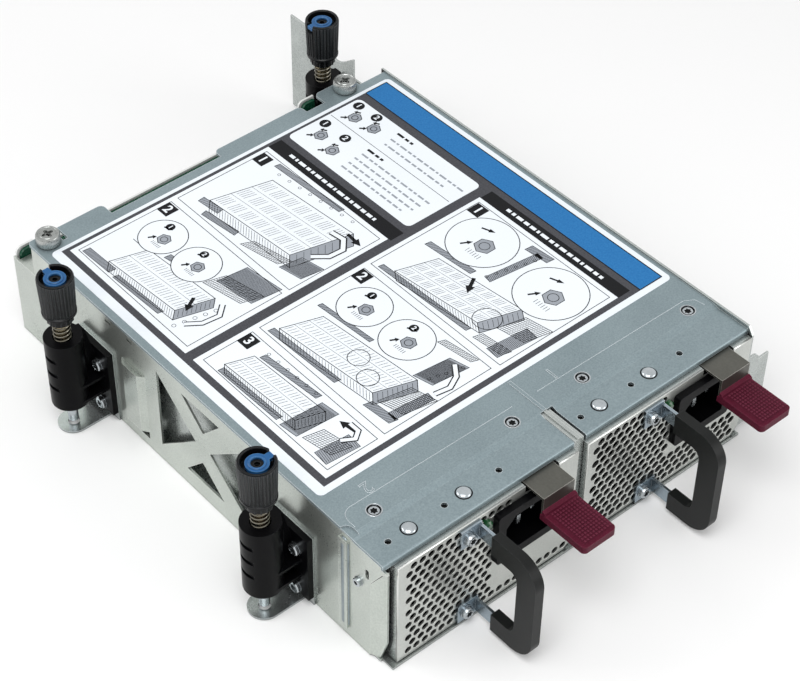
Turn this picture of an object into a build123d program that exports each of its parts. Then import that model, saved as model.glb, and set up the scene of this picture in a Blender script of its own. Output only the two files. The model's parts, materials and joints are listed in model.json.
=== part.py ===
import os
from math import cos, pi, radians, sin

from build123d import *

os.makedirs("parts", exist_ok=True)

# A two-bay power supply cage: a sheet metal box, two power supplies that slide out to the front
# and three spring-loaded thumbscrews that hold the cage down. Millimetres, +Z up, front at -Y.
# The origin is the middle of the whole part's footprint, on the surface that it stands on.

# Cage
sheet = 1.0
cover_sheet = 1.2
cage_h = 59.2
cage_d = 245.2
rear_ledge = 21.2
cover_d = cage_d - rear_ledge
wall_rise = 0.7
fit = 0.3
slip = 0.05

# Power supplies
psu_w = 91.0
psu_h = 54.3
backplane_room = 27.2
psu_d = cage_d - backplane_room
psu_proud = 3.0
bay_gap = 5.4
bay_pitch = psu_w + bay_gap
left_bay_gap = 3.9
right_bay_gap = 0.5
floor_gap = 0.4
cage_w = sheet + left_bay_gap + bay_pitch + psu_w + right_bay_gap + sheet

# Grille
hole_pitch = 4.27
grille_rows = 14
grille_columns = 10

# Fan
fan_size = 46.0
fan_depth = 23.0
fan_side = 2.0
fan_x = fan_side + fan_size / 2
rotor_r = 20.8
hub_r = 11.0
blade_count = 7

# Handle, measured from the face of the power supply
handle_reach = 33.5
handle_t = 4.4
handle_grip = 9.8
handle_x = 39.4
bracket_sheet = 1.2

# Mains inlet
inlet_w = 31.0
inlet_h = 26.8
inlet_gap = 0.8
inlet_step = 1.7
inlet_x = fan_side + fan_size + inlet_gap + inlet_w / 2 - inlet_step
inlet_top = 7.7
inlet_proud = 3.2
inlet_rim = 4.0
inlet_depth = 15.0

# Release latch
latch_w = 16.0
latch_x = inlet_x + 9.6
latch_reach = 8.8
latch_back = 38.0
tab_w = 17.0
tab_l = 22.7
tab_t = 3.4

# Thumbscrews
screw_offset = 16.2
post_r = 8.2
post_top = 8.5
post_h = 36.0
spring_r = 3.9
shaft_r = 2.25
knob_r = 7.9
knob_h = 24.1
knob_lift = 0.5
crown_r = 6.4
crown_depth = 4.0
button_r = 4.65
rib_count = 18
flange_t = 2.7
foot_r = 7.0

# Rear
rear_bracket_d = 49.0
rear_bracket_start = cage_d - 2.2
front_flange_w = 12.0

# Frame of the whole part
reach_left = screw_offset + post_r
reach_front = psu_proud + handle_reach
reach_back = rear_bracket_start + rear_bracket_d - cage_d
left = reach_left - (reach_left + cage_w + front_flange_w) / 2
front = reach_front - (reach_front + cage_d + reach_back) / 2
roof = cage_h
right = left + cage_w

# Bays: the left side of each power supply, and the levels they share
first_psu = left + sheet + left_bay_gap
psu_left = [first_psu, first_psu + bay_pitch]
psu_bottom = sheet + floor_gap
psu_top = psu_bottom + psu_h
psu_face = front - psu_proud
psu_back = psu_face + psu_d
divider_left = first_psu + psu_w + fit
divider_right = psu_left[1] - fit


def save(builder, label):
    builder.part.label = label
    export_step(builder.part, f"parts/{label}.step")


def side_box(x1, x2, y1, y2, z1, z2, mode=Mode.ADD):
    """A block given by its faces, in the part's own frame."""
    with Locations(((x1 + x2) / 2, (y1 + y2) / 2, (z1 + z2) / 2)):
        Box(x2 - x1, y2 - y1, z2 - z1, mode=mode)


# Cover: a sheet with a stepped front, folded lips, holes and rear tabs
pad_drop = 0.9
step_start = 16.0
step_end = 19.0
lip_drop = 2.3
strip_w = 3.4
strip_d = 24.0
divider_clear = 1.4
rivet_r = 3.1
pad_row_y = 8.1
rivet_places = [(x, pad_row_y) for x in (19.4, 46.6, bay_pitch + 20.9, bay_pitch + 48.1)]
cover_screw_places = [(x, 22.5) for x in (14.9, psu_w - 6.3, bay_pitch + 25.8, cage_w - 12.2)]
pin_hole_places = [(x, pad_row_y) for x in (9.4, 36.9, 64.4, bay_pitch + 10.9, bay_pitch + 38.2,
                                            bay_pitch + 65.3)]
cover_screw_r = 3.0
cover_screw_t = 2.3
cover_screw_sunk = 0.7
pin_hole_r = 1.4
captive_places = [(7.3, cover_d + 1.8), (cage_w - 23, cover_d + 1.8)]
captive_shank_r = 2.0
rivet_shank_r = 2.0
tab_edges = [(0, 38.8, 7.4), (cage_w - 96, cage_w - 47, 5), (cage_w - 36.5, cage_w - 16, 7.7)]
notch_places = [(12.9, 15.3)]
divider_slot_d = step_end
seam_w = 1.6
seam_h = 0.3
label_start = 40.1

lip_bottom = roof - pad_drop - cover_sheet - lip_drop + sheet

with BuildPart() as cover:
    with BuildSketch(Plane.YZ.offset(left)):
        with BuildLine():
            Polyline(
                (front, lip_bottom),
                (front, roof - pad_drop),
                (front + step_start, roof - pad_drop),
                (front + step_end, roof),
                (front + cover_d, roof),
                (front + cover_d, roof - cover_sheet),
                (front + step_end, roof - cover_sheet),
                (front + step_start, roof - pad_drop - cover_sheet),
                (front + cover_sheet, roof - pad_drop - cover_sheet),
                (front + cover_sheet, lip_bottom),
                close=True,
            )
        make_face()
    extrude(amount=cage_w - sheet)
    front_edge = cover.edges().filter_by(Axis.X).sort_by(Axis.Y)[0:2].sort_by(Axis.Z)[-1]
    fillet(front_edge, pad_drop)
    for x1, x2, depth in tab_edges:
        with BuildSketch(Plane.XY.offset(roof - cover_sheet)):
            with Locations((left + (x1 + x2) / 2, front + cover_d + depth / 2 - 1)):
                RectangleRounded(x2 - x1, depth + 2, 2.5)
        extrude(amount=cover_sheet)
    for x1, x2 in notch_places:
        side_box(left + x1, left + x2, front + cover_d - 1, front + cover_d + 9,
                 roof - 2 * cover_sheet, roof + 1, mode=Mode.SUBTRACT)
    side_box(divider_left - slip, divider_right + divider_clear, front - 1, front + divider_slot_d,
             roof - 4 * cover_sheet, roof + 1, mode=Mode.SUBTRACT)
    with BuildSketch(Plane.XY.offset(roof - cover_sheet / 2)):
        with Locations((left, front)):
            RectangleRounded(2 * strip_w, 2 * strip_d, strip_w - slip)
    extrude(amount=cover_sheet, mode=Mode.SUBTRACT)
    for places, radius, sides in ((rivet_places, rivet_shank_r, 8), (pin_hole_places, pin_hole_r, 8),
                                  (cover_screw_places, cover_screw_r, 12),
                                  (captive_places, captive_shank_r + 0.2, 8)):
        with BuildSketch(Plane.XY.offset(roof + 1)):
            with Locations(*[(left + x, front + y) for x, y in places]):
                RegularPolygon(radius, sides)
        extrude(amount=-3 * cover_sheet, mode=Mode.SUBTRACT)
    seam_x = (divider_left + divider_right) / 2
    side_box(seam_x - seam_w / 2, seam_x + seam_w / 2, front + divider_slot_d, front + label_start - 1,
             roof - slip, roof + seam_h)
save(cover, "top_cover")

# Rivets of the cover with domed heads in two steps, and its countersunk socket screws
rivet_level = roof - pad_drop
with BuildPart() as rivets:
    for radius, level, rise, draft in ((rivet_shank_r - slip, -cover_sheet, cover_sheet, 0),
                                       (rivet_r, 0, 0.7, 35), (rivet_r - 0.6, 0.6, 0.7, 65)):
        with BuildSketch(Plane.XY.offset(rivet_level + level)):
            with Locations(*[(left + x, front + y) for x, y in rivet_places]):
                RegularPolygon(radius, 8 if draft == 0 else 16)
        extrude(amount=rise, taper=draft)
save(rivets, "cover_rivets")

with BuildPart() as cover_screws:
    with BuildSketch(Plane.XY.offset(roof - cover_screw_t - cover_screw_sunk)):
        with Locations(*[(left + x, front + y) for x, y in cover_screw_places]):
            RegularPolygon(cover_screw_r - slip, 12)
    extrude(amount=cover_screw_t)
    for x, y in cover_screw_places:
        with BuildSketch(Plane.XY.offset(roof - 2.2)):
            with Locations((left + x, front + y)):
                RegularPolygon(1.4, 6)
        extrude(amount=2, mode=Mode.SUBTRACT)
save(cover_screws, "cover_screws")

# Captive knurled screws at the back of the cover
captive_r = 5.4
captive_h = 5.0
captive_l = 8.0
with BuildPart() as captives:
    for x, y in captive_places:
        with BuildSketch(Plane.XY.offset(roof)):
            with Locations((left + x, front + y)):
                RegularPolygon(captive_r, 20)
        extrude(amount=captive_h)
        with BuildSketch(Plane.XY.offset(roof)):
            with Locations((left + x, front + y)):
                RegularPolygon(captive_shank_r, 8)
        extrude(amount=-captive_l)
    for x, y in captive_places:
        with BuildSketch(Plane.XY.offset(roof + captive_h)):
            with Locations((left + x, front + y)):
                RegularPolygon(2.2, 6)
        extrude(amount=-2.5, mode=Mode.SUBTRACT)
save(captives, "captive_screws")

# Printed label on the cover
label_d = cover_d - label_start - 4.9
label_edge = 3.5
label_w = cage_w - 6.4
label_t = 0.15
with BuildPart() as label:
    with BuildSketch(Plane.XY.offset(roof)):
        with Locations((left + label_edge + label_w / 2, front + label_start + label_d / 2)):
            RectangleRounded(label_w, label_d, 2.5)
    extrude(amount=label_t)
save(label, "cover_label")

# Left wall: lead-in, rib, lance, slots and the triangles of a truss
lead_in_d = 7.0
lead_in_w = 2.6
wall_top = roof - cover_sheet - slip
rear_low = 16.8
rear_low_start = cover_d + 4.5
screw_axes = [51.6, 182.5]
mount_screw_r = 1.5
mount_screw_z = [8.2, 30.2]
mount_screw_y = -5.0
truss = [
    [(140, 6.6), (140, 49.8), (115, 28)],
    [(123, 6.6), (98, 6.6), (109.5, 19.3)],
    [(122.6, 49.8), (97.6, 49.8), (111, 37.2)],
    [(80.5, 6.6), (80.5, 49.8), (105.7, 28)],
]
rib_y = 21.8
rib_w = 4.7
rib_h = 1.1
lance_y = 157.0
lance_w = 16.0
wall_screw_place = (13.6, 21.0)
wall_screw_r = 2.0

with BuildPart() as left_wall:
    with BuildSketch(Plane.XY):
        Polygon((left, front + lead_in_d), (left + lead_in_w, front + 0.5),
                (left + lead_in_w + sheet, front + 0.5), (left + sheet, front + lead_in_d), align=None)
    extrude(amount=roof)
    with BuildSketch(Plane.YZ.offset(left)) as lead_in:
        Polygon((front + lead_in_d, 1), (front + lead_in_d, roof - 16.9), (front, roof - 6),
                (front, 13), (front + 3, 1), align=None)
    extrude(amount=lead_in_w + 2 * sheet, mode=Mode.INTERSECT)
    with BuildSketch(Plane.YZ.offset(left)):
        Polygon((front + lead_in_d, 0), (front + lead_in_d, roof - 16.7), (front + 0.3, roof - 5.8),
                (front - 2.5, roof - 4), (front - 2.5, lip_bottom - slip),
                (front + cover_sheet + slip, lip_bottom - slip),
                (front + cover_sheet + slip, wall_top - pad_drop),
                (front + step_start, wall_top - pad_drop), (front + step_end, wall_top - slip),
                (front + rear_low_start, wall_top - slip),
                (front + rear_low_start, roof - rear_low), (front + cage_d, roof - rear_low),
                (front + cage_d, 0), align=None)
        for corners in truss:
            Polygon(*[(front + y, roof - z) for y, z in corners], align=None, mode=Mode.SUBTRACT)
        with Locations((front + 8.8, roof - 13)):
            SlotOverall(5, 2, rotation=90, mode=Mode.SUBTRACT)
        with Locations((front + 158, roof - 4), (front + 173, roof - 4)):
            SlotOverall(4, 1.4, mode=Mode.SUBTRACT)
        with Locations((front + lance_y, roof - 52)):
            Rectangle(lance_w, 4, mode=Mode.SUBTRACT)
        with Locations((front + wall_screw_place[0], roof - wall_screw_place[1])):
            Circle(wall_screw_r + slip, mode=Mode.SUBTRACT)
        for axis_y in screw_axes:
            with Locations(*[(front + axis_y + mount_screw_y, z) for z in mount_screw_z]):
                RegularPolygon(mount_screw_r + 0.1, 6, mode=Mode.SUBTRACT)
    extrude(amount=sheet)
    side_box(left - rib_h, left, front + rib_y - rib_w / 2, front + rib_y + rib_w / 2, 5, roof - 4)
    with BuildSketch(Plane.XY.offset(roof - 50)):
        Polygon((left, front + lance_y - lance_w / 2), (left - 2, front + lance_y - lance_w / 2 + 3),
                (left - 2, front + lance_y + lance_w / 2 - 3), (left, front + lance_y + lance_w / 2),
                align=None)
    extrude(amount=32)
    side_box(left, left + 9, front + rear_low_start, front + cage_d - 3.7, roof - rear_low - sheet,
             roof - rear_low)
save(left_wall, "left_wall")

with BuildPart() as wall_screw:
    centre = Plane(origin=(left, front + wall_screw_place[0], roof - wall_screw_place[1]),
                   x_dir=(0, 1, 0), z_dir=(-1, 0, 0))
    with BuildSketch(centre):
        Circle(3.6)
    extrude(amount=1.6)
    with BuildSketch(centre):
        Circle(wall_screw_r)
    extrude(amount=-3)
save(wall_screw, "wall_screw")

# Right wall, with the flange at its front
with BuildPart() as right_wall:
    with BuildSketch(Plane.YZ.offset(right - sheet)):
        Polygon((front - 2.5, 4), (front - 2.5, roof - 3), (front, roof + wall_rise),
                (front + cover_d + 2, roof + wall_rise), (front + cover_d + 2, roof - rear_low),
                (front + cage_d, roof - rear_low), (front + cage_d, 0), (front, 0), align=None)
    extrude(amount=sheet)
    with BuildSketch(Plane.XZ.offset(-(front - 2.5))):
        with BuildLine():
            Polyline((right - sheet, 4.2), (right - sheet, roof - 16), (right + 2, roof - 16))
            RadiusArc((right + 2, roof - 16), (right + 6, roof - 20), 4)
            Polyline((right + 6, roof - 20), (right + front_flange_w, roof - 20),
                     (right + front_flange_w, 4.2), (right - sheet, 4.2))
        make_face()
    extrude(amount=-sheet)
save(right_wall, "right_wall")

# Floor, divider between the bays and the rear bracket
floor_notch_w = 28.0
floor_notch_d = 10.0
rr_axis = (right - 18.2, front + cage_d + 2.6)
with BuildPart() as floor:
    with BuildSketch(Plane.XY):
        Polygon((left + sheet, front + 2), (left + 2 * sheet, front + 2), (left + 2 * sheet, front - 4),
                (right - sheet, front - 4), (right - sheet, rr_axis[1] - floor_notch_d),
                (right - sheet - floor_notch_w, rr_axis[1] - floor_notch_d),
                (right - sheet - floor_notch_w, front + cage_d), (left + sheet, front + cage_d),
                align=None)
    extrude(amount=sheet)
save(floor, "cage_floor")

ridge_w = 1.6
divider_low = roof - cover_sheet - slip
with BuildPart() as divider:
    with BuildSketch(Plane.XY.offset(sheet)):
        with BuildLine():
            Polyline((divider_left, front + cover_d), (divider_left, front), (divider_right, front),
                     (divider_right, front + cover_d), (divider_right - sheet, front + cover_d),
                     (divider_right - sheet, front + sheet), (divider_left + sheet, front + sheet),
                     (divider_left + sheet, front + cover_d), close=True)
        make_face()
    extrude(amount=divider_low - sheet)
    side_box(divider_left, divider_right, front, front + divider_slot_d - slip, divider_low - sheet,
             roof - cover_sheet / 2)
    side_box((divider_left + divider_right - ridge_w) / 2, (divider_left + divider_right + ridge_w) / 2,
             front, front + divider_slot_d - slip, roof - cover_sheet, roof)
save(divider, "bay_divider")

rear_bracket_top = 54.9
bracket_foot = 30.0
bracket_step = 9.0
with BuildPart() as rear_bracket:
    with BuildSketch(Plane.YZ.offset(right - 2 * sheet)):
        with BuildLine():
            bracket_front = front + rear_bracket_start - 7
            bracket_rear = front + rear_bracket_start + rear_bracket_d
            Polyline((bracket_front, sheet), (bracket_front, bracket_foot),
                     (bracket_front + bracket_step, bracket_foot + 4),
                     (bracket_front + bracket_step, rear_bracket_top - 0.5))
            Spline((bracket_front + bracket_step, rear_bracket_top - 0.5),
                   (bracket_front + 14, rear_bracket_top - 4), (bracket_front + 20, rear_bracket_top - 7.5),
                   (bracket_front + 27, rear_bracket_top))
            Polyline((bracket_front + 27, rear_bracket_top), (bracket_rear, rear_bracket_top),
                     (bracket_rear, sheet), (bracket_front, sheet))
        make_face()
        with Locations(*[(rr_axis[1] + mount_screw_y, z) for z in mount_screw_z]):
            RegularPolygon(mount_screw_r + 0.1, 6, mode=Mode.SUBTRACT)
    extrude(amount=sheet)
save(rear_bracket, "rear_bracket")

# Backplane: insulated plate, circuit board with raised ears and a socket for each supply
ear_h = 5.0
ear_w = 9.0
ear_corner = 3.0
plate_right = rr_axis[0] - 9
plate_low_top = roof - rear_low - 0.5
board_t = 1.6


def backplane_layer(label, y, thickness, inset):
    """The insulated plate or the board on it, with an ear up at both ends."""
    x1 = left + sheet + inset
    x2 = plate_right - inset
    low = plate_low_top - inset
    w = ear_w - 2 * inset
    with BuildPart() as layer:
        with BuildSketch(Plane.XZ.offset(-y)):
            with BuildLine():
                Polyline((x2, sheet + inset), (x1, sheet + inset), (x1, low + ear_h - ear_corner))
                RadiusArc((x1, low + ear_h - ear_corner), (x1 + ear_corner, low + ear_h), ear_corner)
                Polyline((x1 + ear_corner, low + ear_h), (x1 + w, low + ear_h), (x1 + w, low),
                         (x2 - w, low), (x2 - w, low + ear_h - ear_corner))
                RadiusArc((x2 - w, low + ear_h - ear_corner), (x2 - w + ear_corner, low + ear_h),
                          ear_corner)
                Polyline((x2 - w + ear_corner, low + ear_h), (x2, low + ear_h), (x2, sheet + inset))
            make_face()
        extrude(amount=-thickness)
    save(layer, label)


plate_y = front + cage_d - fit - sheet
board_y = plate_y - 0.4 - board_t
backplane_layer("rear_plate", plate_y, sheet, 0)
backplane_layer("backplane_board", board_y, board_t, 1)

# Rear contact tongue of a supply, and the socket that it plugs into
tongue_w = 40.0
tongue_x = 45.0
tongue_z = 8.6
tongue_l = 10.0
tongue_in = 6.0
socket_h = 9.0
socket_y = psu_back + tongue_l - tongue_in
with BuildPart() as sockets:
    for x in psu_left:
        side_box(x + tongue_x - tongue_w / 2 - 3, x + tongue_x + tongue_w / 2 + 3, socket_y, board_y,
                 sheet + tongue_z - socket_h / 2, sheet + tongue_z + socket_h / 2)
    for x in psu_left:
        side_box(x + tongue_x - tongue_w / 2 - fit, x + tongue_x + tongue_w / 2 + fit, socket_y - 1,
                 socket_y + tongue_in + fit, sheet + tongue_z - board_t / 2 - 0.2,
                 sheet + tongue_z + board_t / 2 + 0.2, mode=Mode.SUBTRACT)
save(sockets, "backplane_sockets")


# Power supplies. Each face has its own grille: hole size, start, and where long rows end
def grille_holes(x0, radius, long_rows, long_end, top_end):
    """Centres of the holes, row by row from the top, every second row half a pitch over."""
    places = []
    for row in range(grille_rows):
        z = psu_top - 3 - row * hole_pitch * sin(radians(60))
        start = x0 + (hole_pitch / 2 if row % 2 == 0 else 0)
        end = start + (grille_columns - 0.5) * hole_pitch
        if row == 0:
            end = top_end
        if row >= grille_rows - long_rows:
            end = long_end
        while start < end:
            places.append((start, z))
            start += hole_pitch
    return [Location((x, z)) for x, z in places], radius


led_x = 43.3
led_z = 6.1
led_r = 2.0
handle_screws = [(33.9, 6.7), (33.9, 49.3)]
handle_screw_r = 1.3
latch_slot_depth = 4.5
inlet_lip = inlet_step - 0.2


def face_plate(x, number, grille):
    places, radius = grille
    with BuildPart() as face:
        with BuildSketch(Plane.XZ.offset(-psu_face)):
            with BuildLine():
                Polyline((x, psu_bottom), (x, psu_top), (x + psu_w, psu_top), (x + psu_w, psu_bottom + 4),
                         (x + psu_w - 4, psu_bottom), (x, psu_bottom))
            make_face()
            with Locations(*[Location((x + p.position.X, p.position.Y)) for p in places]):
                Rectangle(1.77 * radius, 1.77 * radius, mode=Mode.SUBTRACT)
            with Locations((x + inlet_x, psu_top - inlet_top + 3.5 - inlet_h / 2)):
                Rectangle(inlet_w - 2 * inlet_lip, inlet_h - 2 * inlet_lip, mode=Mode.SUBTRACT)
            with Locations((x + latch_x, psu_top - latch_slot_depth / 2)):
                Rectangle(latch_w + 2, latch_slot_depth, mode=Mode.SUBTRACT)
            with Locations((x + led_x, psu_top - led_z)):
                Circle(led_r + slip, mode=Mode.SUBTRACT)
            with Locations(*[(x + sx, psu_top - sz) for sx, sz in handle_screws]):
                RegularPolygon(handle_screw_r + slip, 6, mode=Mode.SUBTRACT)
        extrude(amount=-sheet)
    save(face, f"psu_{number}_face")


def case_shell(x, number):
    with BuildPart() as case:
        side_box(x, x + psu_w, psu_face + sheet, psu_back, psu_bottom, psu_top)
        side_box(x + sheet, x + psu_w - sheet, psu_face, psu_back - sheet, psu_bottom + sheet,
                 psu_top - sheet, mode=Mode.SUBTRACT)
        side_box(x + latch_x - latch_w / 2 - 1, x + latch_x + latch_w / 2 + 1, psu_face,
                 psu_face + latch_back + fit, psu_top - 2 * sheet, psu_top + 1, mode=Mode.SUBTRACT)
        side_box(x + tongue_x - tongue_w / 2 - fit, x + tongue_x + tongue_w / 2 + fit, psu_back - 2,
                 psu_back + 1, sheet + tongue_z - board_t / 2 - 0.2, sheet + tongue_z + board_t / 2 + 0.2,
                 mode=Mode.SUBTRACT)
    save(case, f"psu_{number}_case")


def circuit_board(x, number):
    with BuildPart() as board:
        with BuildSketch(Plane.XY.offset(sheet + tongue_z - board_t / 2)):
            x1 = x + sheet + fit
            x2 = x + psu_w - sheet - fit
            t1 = x + tongue_x - tongue_w / 2
            Polygon((x1, psu_face + fan_depth + 12), (x2, psu_face + fan_depth + 12),
                    (x2, psu_back - sheet - fit), (t1 + tongue_w, psu_back - sheet - fit),
                    (t1 + tongue_w, psu_back + tongue_l), (t1, psu_back + tongue_l),
                    (t1, psu_back - sheet - fit), (x1, psu_back - sheet - fit), align=None)
        extrude(amount=board_t)
    save(board, f"psu_{number}_board")


# Fan behind the grille: a frame with struts and a bearing, and a rotor with pitched blades
fan_y = psu_face + sheet + fit
fan_z = (psu_top + psu_bottom) / 2
rotor_gap = 0.7
spindle_r = 1.5
strut_w = 4.0
stator_t = 3.0
blade_pitch = 34


def fan_frame(x, number):
    centre = Plane(origin=(x + fan_x, fan_y, fan_z), x_dir=(1, 0, 0), z_dir=(0, 1, 0))
    with BuildPart() as frame:
        with BuildSketch(centre):
            RectangleRounded(fan_size, fan_size, 3)
            Circle(rotor_r + rotor_gap, mode=Mode.SUBTRACT)
        extrude(amount=fan_depth)
        with BuildSketch(centre.offset(fan_depth - stator_t)):
            Circle(hub_r)
            for angle in (45, 135):
                with Locations(Rotation(0, 0, angle)):
                    Rectangle(fan_size, strut_w)
            Circle(spindle_r + slip, mode=Mode.SUBTRACT)
        extrude(amount=stator_t)
    save(frame, f"psu_{number}_fan_frame")


def fan_rotor(x, number):
    centre = Plane(origin=(x + fan_x, fan_y + 2, fan_z), x_dir=(1, 0, 0), z_dir=(0, 1, 0))
    blade_l = rotor_r - hub_r + 1
    hub_depth = fan_depth - stator_t - 2 - fit
    with BuildPart() as rotor:
        with BuildSketch(centre):
            Circle(hub_r)
        extrude(amount=hub_depth)
        with BuildSketch(centre.offset(hub_depth)):
            Circle(spindle_r)
        extrude(amount=stator_t)
        for blade in range(blade_count):
            angle = 2 * pi * blade / blade_count
            root = Plane(origin=(x + fan_x + (hub_r - 1) * cos(angle), fan_y + 2 + hub_depth / 2,
                                 fan_z + (hub_r - 1) * sin(angle)),
                         x_dir=(0, 1, 0), z_dir=(cos(angle), 0, sin(angle)))
            with BuildSketch(root):
                Rectangle(16, 1.2, rotation=blade_pitch)
            extrude(amount=blade_l)
    save(rotor, f"psu_{number}_rotor")


# Handle: a hoop with rounded corners, held by two folded brackets that run into its arms
handle_z1 = psu_bottom + 0.8
handle_z2 = psu_top - 1.0
bracket_w = 10.2
bracket_h = 9.6
bracket_leg = 17.0
arm_start = 9.5


def handle(x, number):
    y1 = psu_face - handle_reach
    y2 = y1 + handle_grip
    y3 = psu_face - arm_start
    with BuildPart() as hoop:
        with BuildSketch(Plane.YZ.offset(x + handle_x - handle_t / 2)):
            with BuildLine():
                FilletPolyline((y3, handle_z2), (y1, handle_z2), (y1, handle_z1), (y3 - 1.8, handle_z1),
                               radius=11)
                Line((y3 - 1.8, handle_z1), (y3 - 1.8, handle_z1 + 9))
                FilletPolyline((y3 - 1.8, handle_z1 + 9), (y2, handle_z1 + 9), (y2, handle_z2 - 9.8),
                               (y3, handle_z2 - 9.8), radius=4)
                Line((y3, handle_z2 - 9.8), (y3, handle_z2))
            make_face()
        extrude(amount=handle_t)
        for z in (handle_z1 + 4.5, handle_z2 - 4.9):
            side_box(x + handle_x - bracket_sheet / 2 - slip, x + handle_x + bracket_sheet / 2 + slip,
                     psu_face - bracket_leg - slip, psu_face, z - 3.6, z + 3.6, mode=Mode.SUBTRACT)
    save(hoop, f"psu_{number}_handle")


def handle_brackets(x, number):
    with BuildPart() as brackets:
        for z, screw in ((handle_z1 + 4.5, handle_screws[1]), (handle_z2 - 4.9, handle_screws[0])):
            right_face = x + handle_x + bracket_sheet / 2
            side_box(right_face - bracket_w, right_face, psu_face - bracket_sheet, psu_face,
                     z - bracket_h / 2, z + bracket_h / 2)
            side_box(right_face - bracket_sheet, right_face, psu_face - bracket_leg, psu_face,
                     z - 3.5, z + 3.5)
        with BuildSketch(Plane.XZ.offset(-psu_face)):
            with Locations(*[(x + sx, psu_top - sz) for sx, sz in handle_screws]):
                RegularPolygon(handle_screw_r + slip, 6)
        extrude(amount=2 * bracket_sheet, mode=Mode.SUBTRACT)
    save(brackets, f"psu_{number}_handle_brackets")


def handle_screw_pair(x, number):
    with BuildPart() as screws:
        for sx, sz in handle_screws:
            with BuildSketch(Plane.XZ.offset(-psu_face + bracket_sheet)):
                with Locations((x + sx, psu_top - sz)):
                    RegularPolygon(2.6, 12)
            extrude(amount=2.2, taper=8)
            with BuildSketch(Plane.XZ.offset(-psu_face + bracket_sheet)):
                with Locations((x + sx, psu_top - sz)):
                    RegularPolygon(handle_screw_r, 6)
            extrude(amount=-bracket_sheet - sheet)
    save(screws, f"psu_{number}_handle_screws")


def indicator(x, number):
    with BuildPart() as led:
        base = Plane(origin=(x + led_x, psu_face + sheet, psu_top - led_z), z_dir=(0, -1, 0))
        with BuildSketch(base):
            Circle(led_r)
        extrude(amount=sheet + 2.4)
        chamfer(led.edges().sort_by(Axis.Y)[0], 0.9)
    save(led, f"psu_{number}_led")


# Mains inlet: flange, deep socket with two cut corners, three flat pins
inlet_z = psu_top - inlet_top + 3.5 - inlet_h / 2
blade_places = [(0, -2.0), (-7.0, 2.0), (7.0, 2.0)]
blade_w = 1.8
blade_h = 4.6


def inlet(x, number):
    front_plane = Plane(origin=(x + inlet_x, psu_face - inlet_proud, inlet_z), x_dir=(1, 0, 0),
                        z_dir=(0, -1, 0))
    inner_w = inlet_w - 2 * inlet_rim
    inner_h = inlet_h - 2 * inlet_rim
    with BuildPart() as socket:
        with BuildSketch(front_plane):
            RectangleRounded(inlet_w, inlet_h, 1.5)
        extrude(amount=-inlet_proud)
        with BuildSketch(front_plane):
            Rectangle(inlet_w - 2 * inlet_step, inlet_h - 2 * inlet_step)
        extrude(amount=-inlet_depth - 2)
        with BuildSketch(front_plane):
            Polygon((-inner_w / 2, -inner_h / 2), (inner_w / 2, -inner_h / 2),
                    (inner_w / 2, inner_h / 2 - 4.5), (inner_w / 2 - 4.5, inner_h / 2),
                    (4.5 - inner_w / 2, inner_h / 2), (-inner_w / 2, inner_h / 2 - 4.5), align=None)
        extrude(amount=-inlet_depth, mode=Mode.SUBTRACT)
        with BuildSketch(front_plane.offset(-inlet_depth)):
            with Locations(*blade_places):
                Rectangle(blade_w, blade_h)
        extrude(amount=-2, mode=Mode.SUBTRACT)
    save(socket, f"psu_{number}_inlet")
    with BuildPart() as pins:
        with BuildSketch(front_plane.offset(-inlet_depth - 2)):
            with Locations(*blade_places):
                Rectangle(blade_w, blade_h)
        extrude(amount=inlet_depth - 3.2)
    save(pins, f"psu_{number}_inlet_pins")


# Release latch: a spring plate in a notch of the case, with a moulded finger tab on its drop
latch_z = psu_top - fit
drop_h = 8.7


def latch(x, number):
    y_front = psu_face - latch_reach
    with BuildPart() as spring_plate:
        with BuildSketch(Plane.YZ.offset(x + latch_x - latch_w / 2)):
            Polygon((psu_face + latch_back, latch_z), (y_front, latch_z), (y_front, latch_z - drop_h),
                    (y_front + sheet, latch_z - drop_h), (y_front + sheet, latch_z - sheet),
                    (psu_face + latch_back, latch_z - sheet), align=None)
        extrude(amount=latch_w)
    save(spring_plate, f"psu_{number}_latch_plate")
    with BuildPart() as tab:
        low = latch_z - drop_h
        with BuildSketch(Plane.YZ.offset(x + latch_x - tab_w / 2)):
            Polygon((y_front + sheet, low), (y_front, low), (y_front, low + 2.4),
                    (y_front - 1.5, low + 1.8), (y_front - 2.0, low + 0.7),
                    (y_front - tab_l, low + 0.7), (y_front - tab_l, low + 0.7 - tab_t),
                    (y_front + sheet, low + 0.7 - tab_t), align=None)
        extrude(amount=tab_w)
        fillet(tab.edges().filter_by(Axis.Z).sort_by(Axis.Y)[0:2], 2)
    save(tab, f"psu_{number}_latch_tab")


grilles = [grille_holes(5.5, 1.65, 1, psu_w - 4.0, inlet_x - 4.6),
           grille_holes(4.8, 1.87, 4, psu_w - 3.5, fan_side + fan_size - 3.0)]
for index, x in enumerate(psu_left):
    number = index + 1
    case_shell(x, number)
    face_plate(x, number, grilles[index])
    circuit_board(x, number)
    fan_frame(x, number)
    fan_rotor(x, number)
    handle(x, number)
    handle_brackets(x, number)
    handle_screw_pair(x, number)
    indicator(x, number)
    inlet(x, number)
    latch(x, number)

# Thumbscrews: two on the left wall and one on the rear bracket
screw_places = [(left - screw_offset, front + screw_axes[0], 12.0),
                (left - screw_offset, front + screw_axes[1], 12.0),
                (rr_axis[0], rr_axis[1], 9.0)]
post_z = roof - post_top
post_base = post_z - post_h
bore_r = spring_r + 0.4
bore_floor = post_base + 6
flange_z1 = 4.7
flange_z2 = roof - 20
sleeve_r = 3.0
sleeve_l = 7.0
flange_r = 4.2
button_t = 1.5
button_travel = 1.2
button_bore = 2.5
guide_gap = 0.2
tab_slot_w = 3.7
knob_taper = 1.76


def mount_face(ax):
    return ax + screw_offset


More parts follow.
